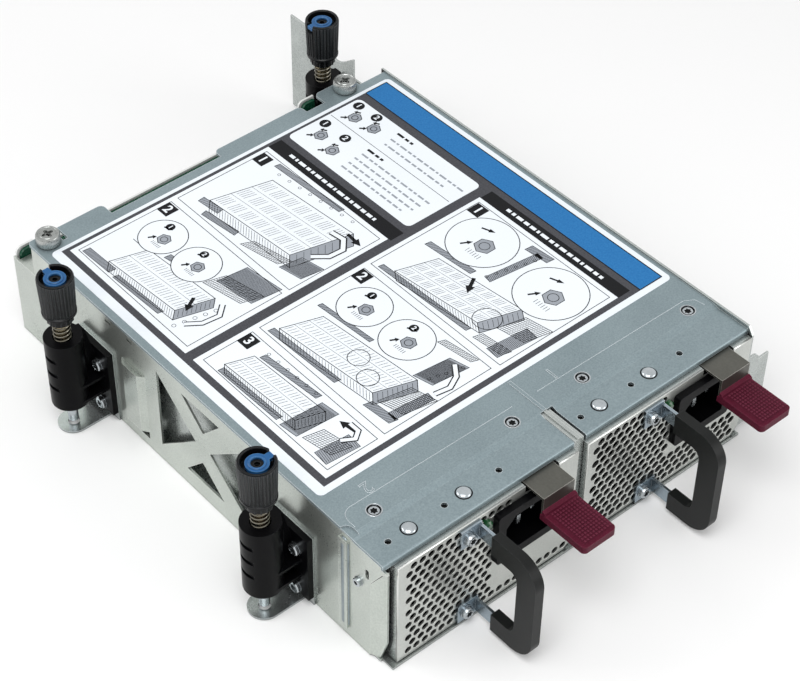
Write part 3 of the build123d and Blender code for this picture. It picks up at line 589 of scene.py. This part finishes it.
def crate(start, along, across, drop, rows, columns, marks=4):
    """A plain box seen from a corner: louvres on its top, a hatched long side and a tinted end."""
    top = SlantedArea(start, along, across)
    side = SlantedArea(start, along, drop)
    end = SlantedArea(top.at(1, 0), across, drop)
    polygon("tint", end.corners())
    top.louvres(rows, columns, marks, 0.16)
    top.lines_along(columns, 0.14)
    side.lines_across(30, 0.16, 0.12, 0.9)
    end.lines_across(9, 0.18, 0.15, 0.85)
    for area in (top, side, end):
        area.outline(0.32)


def mesh_area(start, along, across, rows, columns):
    """A close mesh of crossing lines."""
    area = SlantedArea(start, along, across)
    area.lines_across(rows, 0.17)
    area.lines_along(columns, 0.17)
    area.outline(0.3)


def hose(points, width):
    """A bent tube: dark edges with a light middle."""
    stroke("lens_line", points, width)
    stroke("figure", points, width * 0.62)


def bolt_row(start, step, count, radius=0.7):
    for i in range(count):
        stroke("line", around(start[0] + step[0] * i, start[1] + step[1] * i, radius, 10), 0.2, closed=True)


def shaded(start, along, across, bars):
    """A grey area with fine slanting hatches and an outline."""
    area = SlantedArea(start, along, across)
    polygon("shade", area.corners())
    for i in range(bars):
        s = i / bars
        stroke("line", [area.at(s, 0.06), area.at(s + 0.9 / bars, 0.94)], 0.2)
    area.outline(0.26)


def nut_shape(x, y, radius, line, hole, hole_line):
    """A hexagon with a hole."""
    polygon("lens_tint", around(x, y, radius, 6))
    stroke("lens_line", around(x, y, radius, 6), line, closed=True)
    stroke("lens_line", hole, hole_line, closed=True)


def lens(x, y, radius):
    """A round inset with a hexagon nut, its washer and two arrows."""
    polygon("lens", around(x, y, radius, 44))
    stroke("lens_line", around(x, y, radius, 44), 0.36, closed=True)
    nut = radius * 0.3
    nut_x, nut_y = x - nut * 0.2, y - nut * 0.5
    nut_shape(nut_x, nut_y, nut, 0.32, around(nut_x, nut_y, nut * 0.5, 14), 0.3)
    for i in range(6):
        mark_y = y - nut * (1.3 - 0.3 * i)
        stroke("lens_line", [(x - nut * 1.9, mark_y), (x - nut * 1.35, mark_y)], 0.22)
    arrow(x + nut * 1.3, y + nut * 1.5, radius * 0.42, -70, 0.9, "lens_line")
    arrow(x - nut * 1.6, y + nut * 1.2, radius * 0.36, -30, 0.9, "lens_line")


def numbered_square(digit, x, y):
    patch("line", x - 3.5, x + 3.5, y - 3.4, y + 3.4)
    digits.append((digit, x, y, 6.4))


def numbered_disc(digit, x, y, radius=2.7):
    polygon("lens_line", around(x, y, radius, 24))
    digits.append((digit, x, y, radius * 1.5))


def dash_row(layer, x, y1, y2, width, start=0):
    """A row of dashes of uneven length, where the real label has words."""
    lengths = (3.1, 1.4, 4.2, 2.3, 1.8, 3.6, 2.7)
    y, index = y1, start
    while y - lengths[index % 7] > y2:
        stroke(layer, [(x, y), (x, y - lengths[index % 7])], width)
        y -= lengths[index % 7] + 1.0
        index += 1


def draw_fields():
    patch("field", 2.2, 182.4, 43.2, 217.2)
    patch("band", 169.9, 182.1, 43.6, 216.8)
    for x in (169.8, 182.3):
        stroke("line", [(x, 43.3), (x, 217.1)], 0.5)
    for y in (43.4, 217.0):
        stroke("line", [(170.3, y), (182.0, y)], 0.5)
    patch("panel", 5.3, 112.0, 134.1, 215.4)
    patch("panel", 123.2, 165.2, 134.2, 215.8, corner=2.6)
    patch("panel", 5.4, 159.6, 46.0, 129.2)
    patch("line", 112.2, 119.4, 132.6, 215.4)
    patch("line", 159.8, 166.3, 45.8, 128.6)
    for x1, x2, y1, y2 in ((60.4, 109.4, 136.4, 213.2), (8.3, 56.8, 136.8, 213.2), (8.6, 33.5, 49.0, 126.5),
                           (37.2, 92.5, 49.2, 126.6), (96.4, 157.2, 48.3, 126.9)):
        frame_line("line", x1, x2, y1, y2, 0.3)
    stroke("line", [(147.6, 135.5), (147.6, 214.8)], 0.25)
    for digit, x, y in (("1", 104.6, 210.0), ("2", 52.6, 210.0), ("3", 29.0, 123.3), ("2", 88.6, 123.3),
                        ("1", 153.2, 123.2)):
        numbered_square(digit, x, y)
    dash_row("figure", 115.7, 204.5, 145.0, 1.7)
    dash_row("figure", 163.0, 115.5, 58.0, 1.7, 3)


def draw_drawings():
    """Generic drawings in the five panels, rear panels first."""
    for row in (((70, 203), (4, -50), (29, -7), (-5, -6), 7, 3),
                ((14, 199), (3, -42), (17, -5), (-4, -4), 8, 2, 3),
                ((13.5, 119), (2, -42), (12, -4), (-3.2, -4), 8, 2, 3),
                ((43, 121), (5, -52), (18, -6), (-4, -5), 9, 3, 3),
                ((101, 117), (5, -45), (19, -6), (-3.5, -5), 8, 3)):
        crate(*row)
    for row in (((62.6, 172), (4, -20), (5.5, -2.5), 16, 6), ((36, 163), (4, -20), (10, -3), 18, 9),
                ((12, 68), (2.5, -14), (9, -2), 12, 8), ((46.5, 64.4), (3.0, -12), (15, -3), 12, 13),
                ((86.4, 74), (2.4, -17), (3.2, -1.2), 15, 4),
                ((110, 64.5), (2.4, -13), (13, -3), 12, 11), ((99, 67), (1.6, -15), (4.4, -1.2), 14, 5)):
        mesh_area(*row)
    for row in (((66, 206), (1.2, -12), (3.4, 0.4), 10), ((61.6, 198), (2.4, -20), (3.0, 0.6), 24),
                ((105.6, 203), (1.8, -42), (2.8, -0.4), 40), ((66, 150), (2.2, -11.6), (11, -1.6), 22),
                ((9.2, 211.6), (0.6, -18), (3.6, -0.4), 20), ((41, 160), (2.4, -20), (14.8, -1.6), 30),
                ((9.4, 190), (1.2, -30), (2.6, -0.4), 34), ((33, 186), (1.6, -10), (3.2, -0.4), 9),
                ((9.4, 118), (0.8, -36), (2.8, -0.3), 36), ((26.6, 113), (2.6, -32), (2.8, -0.4), 30),
                ((9.6, 79), (1.0, -9), (20, -1.4), 18), ((10, 51.4), (16, -1.2), (0.5, 7.6), 18),
                ((38.6, 123), (1.6, -40), (3.0, -0.4), 44), ((63.4, 121.6), (2.2, -30), (2.2, -0.3), 26),
                ((41, 66.4), (1.2, -14), (4.0, -0.8), 14), ((66.4, 66), (2.2, -9), (17.6, -2.0), 24),
                ((45, 52.4), (19, -1.8), (0.4, 4.4), 26), ((97.6, 123.6), (1.8, -52), (2.6, -0.4), 52),
                ((121.6, 121.6), (2.0, -26), (3.0, -0.4), 22), ((98.4, 52), (20, -2.0), (0.4, 6.6), 28),
                ((126.4, 86.6), (26.6, -3.4), (0.5, 3.6), 34),
                ((151.2, 92.0), (1.0, -12), (4.0, -0.4), 12)):
        shaded(*row)
    for row in (((103.5, 197), (0.6, -6.4), 8), ((11.4, 150), (4.6, -1.0), 5, 0.9),
                ((30.5, 112), (0.1, -5.8), 6), ((70, 60.5), (3.6, -1.0), 5),
                ((127.5, 90), (4.4, -1.2), 6)):
        bolt_row(*row)
    for row in (([(80, 146.5), (86, 141.5), (93, 141), (97.5, 146), (96.5, 153)], 3.2),
                ([(15, 148), (21, 143.6), (29, 142.6), (34, 147)], 2.8),
                ([(22, 57.5), (27, 54.4), (30.6, 57), (30.6, 62)], 2.6),
                ([(66, 52.8), (73, 51.6), (79, 54.6), (83, 60)], 2.8)):
        hose(*row)
    for row in ((101, 147.5, 9.5, -95), (27.5, 158, 8.5, -150), (29.6, 57.2, 8.5, 98),
                (123, 92.5, 9.5, -150)):
        arrow(*row)
    stroke("line", [(30, 204), (30, 198), (36, 192)], 0.3)
    stroke("line", [(124, 108), (128, 100)], 0.25)
    # round insets and the numbered discs beside them
    for x, y, radius in ((40.4, 196.8, 10.8), (40.7, 173.6, 10.8), (77.4, 108.5, 11.7), (77.9, 82.8, 11.7),
                         (140.6, 106.7, 15.7), (140.5, 65.3, 15.9)):
        lens(x, y, radius)
    for x, y, radius in ((56.5, 87.5, 4.6), (52.0, 76.5, 4.6), (110.5, 71, 6.2)):
        stroke("lens_line", around(x, y, radius, 30), 0.3, closed=True)
    for digit, x, y in (("1", 46.6, 199.8), ("2", 46.9, 176.4), ("1", 84.0, 111.6), ("2", 84.4, 86.0)):
        numbered_disc(digit, x, y, 2.1)


def draw_notes():
    """Small figures and dash rows in the rounded panel."""
    for digit, x, y in (("1", 161.3, 211.6), ("2", 161.8, 199.8), ("1", 141.7, 211.7), ("2", 141.6, 197.7)):
        numbered_disc(digit, x, y)
    for x, y in ((154.4, 206.2), (155.6, 194.6), (134.8, 206.4), (131.8, 194.9)):
        nut_shape(x, y, 3.3, 0.35, around(x, y, 1.5, 12), 0.35)
        arrow(x - 4.6, y + 4.6, 3.4, -45, 0.9, "lens_line")
        arrow(x + 4.2, y + 0.8, 3.2, 120, 0.9, "lens_line")
    rows = ((156.7, 184.2, 136.0), (152.4, 183.3, 140.0), (140.3, 184.6, 137.0), (136.2, 184.7, 139.4),
            (132.2, 184.0, 137.6), (128.2, 184.2, 141.0))
    for index, (x, y1, y2) in enumerate(rows):
        dash_row("tint", x, y1, y2, 1.0, index)
    for x in (161.6, 144.2):
        dash_row("line", x, 185.2, 171.0, 1.3, 2)


def print_label():
    draw_fields()
    draw_drawings()
    draw_notes()
    for layer, (finish, level) in print_layers.items():
        shape = ([], [])
        low = label_high.z + level * ink
        for outline in print_shapes[layer]:
            prism(shape, outline, low, low + ink_fill)
        piece_from("label_" + layer, shape, finish, "cage")
    for index, (digit, x, y, size) in enumerate(digits):
        words = figure_mesh(digit, size)
        words.extrude = ink / 3
        words.offset = 0.025 * size * mm
        mesh = mesh_of_curve(words)
        px, py = spot(x, y)
        mesh.transform(Matrix.Translation((px, py, label_high.z + digit_level * ink))
                       @ Matrix.Rotation(-pi / 2, 4, "Z"))
        place_piece(f"label_digit_{index + 1}", mesh, "print_white", "cage")


# Figures, beads and a rib pressed in the sheet
def pressed_line(name, points, radius):
    """A half-sunk round bead along points in metres."""
    curve = bpy.data.curves.new(name, "CURVE")
    curve.dimensions = "3D"
    curve.bevel_depth = radius
    curve.bevel_resolution = 2
    curve.use_fill_caps = True
    spline = curve.splines.new("POLY")
    spline.points.add(len(points) - 1)
    for point, place in zip(spline.points, points):
        point.co = (*place, 1)
    place_piece(name, mesh_of_curve(curve), "galvanised_steel", "cage", smooth=True)


def press_cover():
    """The figures and the beads round the cover's two front pads."""
    roof = label_low.z
    for number, x, y in ((1, 108.7, 32.1), (2, 14.2, 33.0)):
        words = figure_mesh(str(number), 8.4)
        words.fill_mode = "NONE"
        words.bevel_depth = 0.17 * mm
        words.bevel_resolution = 2
        mesh = mesh_of_curve(words)
        px, py = spot(x, y)
        mesh.transform(Matrix.Translation((px, py, roof)) @ Matrix.Rotation(pi, 4, "Z"))
        place_piece(f"pressed_figure_{number}", mesh, "galvanised_steel", "cage",
                    smooth=True)
    turn_r, turn_x, turn_y = 5, -1.6, 24.5
    turn = [(turn_x + turn_r * (1 - cos(radians(a))), turn_y + turn_r * sin(radians(a)))
            for a in range(0, 91, 15)]
    for name, points in (("pad_bead_left", [(turn_x, 20.5)] + turn + [(84.5, 28.6)]),
                         ("pad_bead_right", [(97.5, 28.4), (178.5, 27.6), (182.5, 25.0), (183.4, 20.5)])):
        pressed_line(name, [(*spot(x, y), roof - 0.05 * mm) for x, y in points], 0.2 * mm)


def press_wall():
    """The rounded rib up the left wall, over the plain one, in a darker steel as painted shade."""
    wall_x, cover_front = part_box("top_cover")[0][:2]
    middle, half_width, reach = cover_front + 21.8 * mm, 2.7 * mm, 1.25 * mm
    bottom, top = 4.4 * mm, label_low.z - 3.4 * mm
    rows = [(bottom, 0.05), (bottom + 0.5 * mm, 0.55), (bottom + 1.5 * mm, 0.85), (bottom + 3 * mm, 1.0),
            (top - 3 * mm, 1.0), (top - 1.5 * mm, 0.85), (top - 0.5 * mm, 0.55), (top, 0.05)]
    steps = 10
    vertices, faces = [], []
    for z, share in rows:
        for step in range(steps + 1):
            angle = pi * step / steps
            vertices.append((wall_x + 0.1 * mm - share * reach * sin(angle) ** 0.8,
                             middle - share * half_width * cos(angle), z))
    wide = steps + 1
    for row in range(len(rows) - 1):
        for step in range(steps):
            a = row * wide + step
            faces.append((a, a + 1, a + wide + 1, a + wide))
        a = row * wide
        faces.append((a, a + wide, a + wide + steps, a + steps))
    faces.append(tuple(range(wide)))
    faces.append(tuple((len(rows) - 1) * wide + step for step in reversed(range(wide))))
    piece_from("wall_rib", (vertices, faces), "groove_shade_steel", "cage", smooth=True)


# Fasteners
def socket_ripple(first, lobes, depth):
    """Waves the recess of a screw head, from the profile's point number first on."""
    def ripple(angle, index, radius, height):
        return (radius * (1 + depth * cos(lobes * angle)), height) if index >= first else (radius, height)
    return ripple


def knurl_ripple(first, last, sides, depth):
    def ripple(angle, index, radius, height):
        tooth = round(angle / (2 * pi) * sides) % 2
        return (radius - depth * tooth, height) if first <= index <= last else (radius, height)
    return ripple


def petal_ripple(angle, index, radius, height):
    """A foot with four petals."""
    return (radius * (0.84 + 0.16 * cos(4 * angle)), height) if index in (2, 3) else (radius, height)


def middle_of(low, high):
    return [(a + b) / 2 for a, b in zip(low, high)]


def fastener_pieces(body, name, finish, build, replaced):
    """One piece of all the heads of a node and one of their dark recesses, which are painted shade."""
    metal, dark = ([], []), ([], [])
    for low, high in separate_solids(replaced):
        build(metal, dark, low, high)
    piece_from(name, metal, finish, body, [replaced], smooth=True)
    piece_from(name + "_shade_discs", dark, "recess_shade", body)


# Heights of the heads over their seats, in millimetres
pan_head_h = 2.2
captive_head_h = 5.0
rivet_head_h = 1.3
cover_screw_sink = 0.7


def pan_head(metal, dark, seat, axis, radius):
    """A washer, a round head with a lobed recess, and a short shank."""
    profile = [(1.4, -3.0), (1.4, 0.0), (radius, 0.0), (radius, 0.4), (radius * 0.86, 0.5),
               (radius * 0.9, 0.62), (radius * 0.9, 1.6), (radius * 0.8, 2.05), (radius * 0.66, pan_head_h),
               (radius * 0.48, 2.18), (radius * 0.42, 1.1)]
    turned(metal, profile, seat, axis, ripple=socket_ripple(9, 6, 0.2))
    # painted shade: a dark disc low in the recess
    turned(dark, [(radius * 0.34, 1.05), (radius * 0.34, 1.16)], seat, axis, 20)


def side_screw(metal, dark, low, high):
    seat = middle_of(low, high)
    seat[0] = low.x + pan_head_h * mm
    pan_head(metal, dark, seat, (-1, 0, 0), 3.2)


def front_screw(metal, dark, low, high):
    seat = middle_of(low, high)
    seat[1] = low.y + pan_head_h * mm
    pan_head(metal, dark, seat, (0, -1, 0), 2.9)


def dome_rivet(metal, dark, low, high):
    foot = middle_of(low, high)
    foot[2] = high.z - rivet_head_h * mm
    dome = [(2.95 * cos(radians(a)), 0.2 + 1.15 * sin(radians(a))) for a in range(10, 86, 15)]
    turned(metal, [(3.0, -0.4), (3.0, 0.2)] + dome, foot)
    # painted shadow and reflection: a dark ring round the foot of the dome
    turned(dark, [(3.45, -0.1), (3.45, 0.05), (2.9, 0.05)], foot)


def sunk_screw(metal, dark, low, high):
    roof = middle_of(low, high)
    roof[2] = high.z + cover_screw_sink * mm
    head = [(2.8, -2.9), (2.8, -0.9), (2.2, -0.65), (2.1, -0.25), (1.75, -0.2), (1.35, -0.3), (1.1, -1.4)]
    rim = [(3.3, -0.1), (3.3, 0.08), (3.05, 0.18), (2.85, 0.1), (2.75, -0.8), (2.95, -0.8)]
    turned(metal, head, roof, ripple=socket_ripple(5, 6, 0.16))
    turned(metal, rim, roof, closed=True)
    # painted shade: a dark ring in the gap round the head and a dark disc in the socket
    turned(dark, [(2.78, -0.86), (2.78, -0.78), (2.2, -0.72)], roof)
    turned(dark, [(0.9, -1.5), (0.9, -1.34)], roof, sides=16)


def knurled_screw(metal, dark, low, high):
    roof = middle_of(low, high)
    roof[2] = high.z - captive_head_h * mm
    knurls = 100
    profile = [(1.9, -8.0), (1.9, 0.0), (5.0, 0.0), (5.4, 0.5), (5.4, 4.1), (5.2, 4.4), (5.15, 4.7),
               (4.9, captive_head_h), (4.3, captive_head_h), (4.1, 4.8), (3.6, 4.8), (3.4, captive_head_h),
               (2.1, captive_head_h), (1.7, 3.9)]
    knurl = knurl_ripple(3, 4, knurls, 0.22)
    cross = socket_ripple(12, 4, 0.35)
    turned(metal, profile, roof, sides=knurls,
           ripple=lambda angle, index, r, h: cross(angle, index, *knurl(angle, index, r, h)))
    # painted shade: a dark disc at the bottom of the cross
    turned(dark, [(0.95, 3.8), (0.95, 3.96)], roof, sides=16)


def lobed_screw(metal, dark, low, high):
    seat = middle_of(low, high)
    seat[0] = low.x + (high.x - low.x) * 0.55
    tall = (seat[0] - low.x) / mm
    profile = [(1.9, -1.8), (1.9, 0.0), (3.5, 0.0), (3.5, tall * 0.3), (2.0, tall * 0.4), (1.9, tall * 0.9),
               (1.6, tall), (0.9, tall), (0.8, tall * 0.6)]
    turned(metal, profile, seat, (-1, 0, 0), ripple=petal_ripple)
    # painted shade: a dark disc in the socket
    turned(dark, [(0.7, tall * 0.55), (0.7, tall * 0.66)], seat, (-1, 0, 0), 16)


def add_fasteners():
    for name, finish, build, replaced in (
            ("cover_rivet_domes", "bright_steel", dome_rivet, "cover_rivets"),
            ("sunk_cover_screws", "bright_steel", sunk_screw, "cover_screws"),
            ("knurled_screws", "captive_zinc", knurled_screw, "captive_screws"),
            ("lobed_wall_screw", "bright_steel", lobed_screw, "wall_screw"),
            ("post_screws", "bright_steel", side_screw, "mount_screws")):
        fastener_pieces("cage", name, finish, build, replaced)
    for number in (1, 2):
        fastener_pieces(f"psu_{number}", f"bracket_screws_{number}", "bright_steel", front_screw,
                        f"psu_{number}_handle_screws")


# Knobs of the thumbscrews: ribbed, with a flared ring, a neck and a crown with a notch
knob_ribs = 30
points_per_rib = 6
rib_h = 0.36
neck_rib_h = 0.3
crown_depth = 4.0
notch_angles = (0, 90, 180)
notch_half_width = 1.85


def ribbed_knob(number):
    low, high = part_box(f"thumb_{number}_knob")
    foot = middle_of(low, high)
    foot[2] = low.z
    tall = (high.z - low.z) / mm
    crown_floor = tall - crown_depth
    profile = [(5.0, 0.0), (5.4, 0.5), (5.5, 4.0), (7.0, 4.5), (7.35, 4.9), (7.35, 5.8), (6.9, 6.2),
               (6.85, 6.6), (7.45, tall - 1.5), (7.72, tall - 0.6), (7.35, tall), (6.65, tall),
               (6.4, tall - 0.3), (6.4, crown_floor), (2.3, crown_floor), (2.3, tall - 1.8),
               (1.2, tall - 1.8), (1.1, tall - 3.2)]
    neck, body, crown = (1, 2), (7, 8), range(8, 13)
    notch = radians(notch_angles[number - 1])
    half = asin(notch_half_width / 7.0)
    sides = points_per_rib * knob_ribs

    def ripple(angle, index, radius, height):
        point = round(angle / (2 * pi) * sides)
        if index in body and point % points_per_rib < 2:
            radius += rib_h
        if index in neck and point % (2 * points_per_rib) < 2:
            radius += neck_rib_h
        away = abs((angle - notch + pi) % (2 * pi) - pi)
        if index in crown and away < half:
            height = min(height, crown_floor)
        return radius, height

    shape = ([], [])
    turned(shape, profile, foot, sides=sides, ripple=ripple)
    piece_from(f"ribbed_knob_{number}", shape, "knob_plastic", f"thumb_{number}_turner",
               [f"thumb_{number}_knob"], smooth=True)


def button_lip(number):
    """The raised ring round the hole of a button."""
    top = middle_of(*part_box(f"thumb_{number}_knob"))
    top[2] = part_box(f"thumb_{number}_button")[1].z
    ring = [(3.5, -0.1), (3.5, 0.2), (3.2, 0.42), (2.8, 0.42), (2.55, 0.15), (2.55, -0.1)]
    shape = ([], [])
    turned(shape, ring, top, closed=True)
    piece_from(f"button_lip_{number}", shape, "blue_plastic", f"thumb_{number}_release",
               smooth=True)


# Raised squares on the latch tabs
def tab_grip(number):
    low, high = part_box(f"psu_{number}_latch_tab")
    pitch, half, rim = 1.45 * mm, 0.42 * mm, 1.9 * mm
    columns = int((high.x - low.x - 2 * rim) / pitch) + 1
    rows = int((high.y - low.y - 2 * rim - 2.0 * mm) / pitch) + 1
    start_x = (low.x + high.x - (columns - 1) * pitch) / 2
    vertices, faces = [], []
    for row in range(rows):
        for column in range(columns):
            x, y = start_x + column * pitch, low.y + rim + row * pitch
            first = len(vertices)
            for size, z in ((half, high.z - 0.05 * mm), (half * 0.6, high.z + 0.22 * mm)):
                vertices += [(x - size, y - size, z), (x + size, y - size, z), (x + size, y + size, z),
                             (x - size, y + size, z)]
            faces += [(first + 3, first + 2, first + 1, first), (first + 4, first + 5, first + 6, first + 7)]
            for i, j in ((0, 1), (1, 2), (2, 3), (3, 0)):
                faces.append((first + i, first + j, first + 4 + j, first + 4 + i))
    piece_from(f"tab_grip_{number}", (vertices, faces), "maroon_plastic", f"psu_{number}_latch")


# Coil springs of the thumbscrews
spring_wire = 0.42 * mm
spring_turns = 17


def coil_spring(number):
    low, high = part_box(f"thumb_{number}_spring")
    axis_x, axis_y = (low.x + high.x) / 2, (low.y + high.y) / 2
    radius = (high.x - low.x) / 2 - spring_wire
    steps = 18 * spring_turns
    sides = 6
    vertices, faces = [], []
    rise = high.z - low.z - 2 * spring_wire
    for step in range(steps + 1):
        turn = 2 * pi * spring_turns * step / steps
        z = low.z + spring_wire + rise * step / steps
        for side in range(sides):
            angle = 2 * pi * side / sides
            reach = radius + spring_wire * cos(angle)
            vertices.append((axis_x + reach * cos(turn), axis_y + reach * sin(turn),
                             z + spring_wire * sin(angle)))
    for step in range(steps):
        for side in range(sides):
            a = step * sides + side
            b = step * sides + (side + 1) % sides
            faces.append((a, b, b + sides, a + sides))
    faces.append(tuple(reversed(range(sides))))
    faces.append(tuple(steps * sides + side for side in range(sides)))
    spring = piece_from(f"coil_spring_{number}", (vertices, faces), "spring_wire", "cage",
                        [f"thumb_{number}_spring"], smooth=True)
    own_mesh(spring)


# Power supply faces with round holes
hole_pitch = 4.27
grille_rows = 14
grille_columns = 10


def hole_places(x0, top, long_rows, long_end, top_end):
    places = []
    for row in range(grille_rows):
        start = x0 + (hole_pitch / 2 if row % 2 == 0 else 0)
        end = start + (grille_columns - 0.5) * hole_pitch
        if row == 0:
            end = top_end
        if row >= grille_rows - long_rows:
            end = long_end
        while start < end:
            places.append((start, top - 3 - row * hole_pitch * sin(radians(60))))
            start += hole_pitch
    return places


def punched_face(number, places, hole_r):
    low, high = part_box(f"psu_{number}_face")
    inlet_low, inlet_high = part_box(f"psu_{number}_inlet")
    plate_low, plate_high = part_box(f"psu_{number}_latch_plate")
    curve = bpy.data.curves.new("face_outline", "CURVE")
    curve.dimensions = "2D"
    curve.fill_mode = "BOTH"
    rim = 0.12 * mm
    curve.bevel_depth = rim
    curve.bevel_resolution = 1
    curve.offset = -rim
    curve.extrude = (high.y - low.y) / 2 - rim

    def loop(points):
        spline = curve.splines.new("POLY")
        spline.points.add(len(points) - 1)
        for point, (px, pz) in zip(spline.points, points):
            point.co = (px, pz, 0, 1)
        spline.use_cyclic_u = True

    cut = 4 * mm
    slot_x1, slot_x2 = plate_low.x - 1 * mm, plate_high.x + 1 * mm
    slot_z = high.z - 4.5 * mm
    loop([(low.x, low.z), (high.x - cut, low.z), (high.x, low.z + cut), (high.x, high.z), (slot_x2, high.z),
          (slot_x2, slot_z), (slot_x1, slot_z), (slot_x1, high.z), (low.x, high.z)])
    for px, pz in places:
        cx, cz = low.x + px * mm, pz * mm
        loop([(cx + hole_r * cos(2 * pi * i / 20), cz + hole_r * sin(2 * pi * i / 20)) for i in range(20)])
    inset = 1.5 * mm
    loop([(inlet_low.x + inset, inlet_low.z + inset), (inlet_high.x - inset, inlet_low.z + inset),
          (inlet_high.x - inset, inlet_high.z - inset), (inlet_low.x + inset, inlet_high.z - inset)])
    mesh = mesh_of_curve(curve)
    mesh.transform(Matrix.Translation((0, (low.y + high.y) / 2, 0)) @ Matrix.Rotation(pi / 2, 4, "X"))
    return place_piece(f"punched_face_{number}", mesh, "face_steel", f"psu_{number}",
                       [f"psu_{number}_face"])


# Light, floor and background
def add_light(name, place, aim, size, power):
    data = bpy.data.lights.new(name, "AREA")
    data.shape = "RECTANGLE"
    data.size, data.size_y = size
    data.energy = power
    light = bpy.data.objects.new(name, data)
    light.location = place
    light.rotation_euler = (Vector(aim) - Vector(place)).to_track_quat("-Z", "Y").to_euler()
    bpy.context.scene.collection.objects.link(light)


def white_where_seen(tree, link, strength):
    """White to camera, glossy and transmitted rays, and of the given strength to the others."""
    path = tree.new("ShaderNodeLightPath")
    seen = path.outputs["Is Camera Ray"]
    for ray in ("Is Glossy Ray", "Is Transmission Ray"):
        most = tree.new("ShaderNodeMath")
        most.operation = "MAXIMUM"
        link.new(seen, most.inputs[0])
        link.new(path.outputs[ray], most.inputs[1])
        seen = most.outputs["Value"]
    mix = tree.new("ShaderNodeMixShader")
    link.new(seen, mix.inputs["Fac"])
    for index, level in ((1, strength), (2, 1)):
        sky = tree.new("ShaderNodeBackground")
        sky.inputs["Color"].default_value = (1, 1, 1, 1)
        sky.inputs["Strength"].default_value = level
        link.new(sky.outputs["Background"], mix.inputs[index])
    return mix


def add_surroundings():
    world = bpy.data.worlds.new("studio")
    world.use_nodes = True
    tree, link = world.node_tree.nodes, world.node_tree.links
    tree.clear()
    out = tree.new("ShaderNodeOutputWorld")
    mix = white_where_seen(tree, link, 0.55)
    link.new(mix.outputs["Shader"], out.inputs["Surface"])
    bpy.context.scene.world = world
    size = 3.0
    corners = [(-size, -size, 0), (size, -size, 0), (size, size, 0), (-size, size, 0)]
    mesh = bpy.data.meshes.new("studio_floor")
    mesh.from_pydata(corners, [], [(0, 1, 2, 3)])
    floor = bpy.data.objects.new("studio_floor", mesh)
    bpy.context.scene.collection.objects.link(floor)
    floor.location.z = -0.0002
    material = bpy.data.materials.new("studio_floor")
    material.use_nodes = True
    shader = material.node_tree.nodes["Principled BSDF"]
    shader.inputs["Base Color"].default_value = (0.9, 0.9, 0.9, 1)
    shader.inputs["Roughness"].default_value = 0.9
    floor.data.materials.append(material)
    add_light("key", (-0.5, -0.4, 1.3), (0, 0, 0), (0.9, 0.9), 12)
    add_light("fill", (0.7, -1.1, 0.5), (0, 0, 0), (0.8, 0.8), 4)
    add_light("back", (-0.9, 1.0, 0.9), (0, 0, 0), (0.9, 0.6), 5)


add_camera()
dress_nodes()
print_label()
press_cover()
press_wall()
add_fasteners()
for thumb_number in (1, 2, 3):
    ribbed_knob(thumb_number)
    button_lip(thumb_number)
    coil_spring(thumb_number)
for supply_number in (1, 2):
    tab_grip(supply_number)
face_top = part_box("psu_1_face")[1].z / mm
punched_face(1, hole_places(5.5, face_top, 1, 87.0, 58.0), 1.65 * mm)
punched_face(2, hole_places(4.8, face_top, 4, 87.5, 45.0), 1.87 * mm)
add_surroundings()
bpy.context.scene.view_settings.view_transform = "Standard"
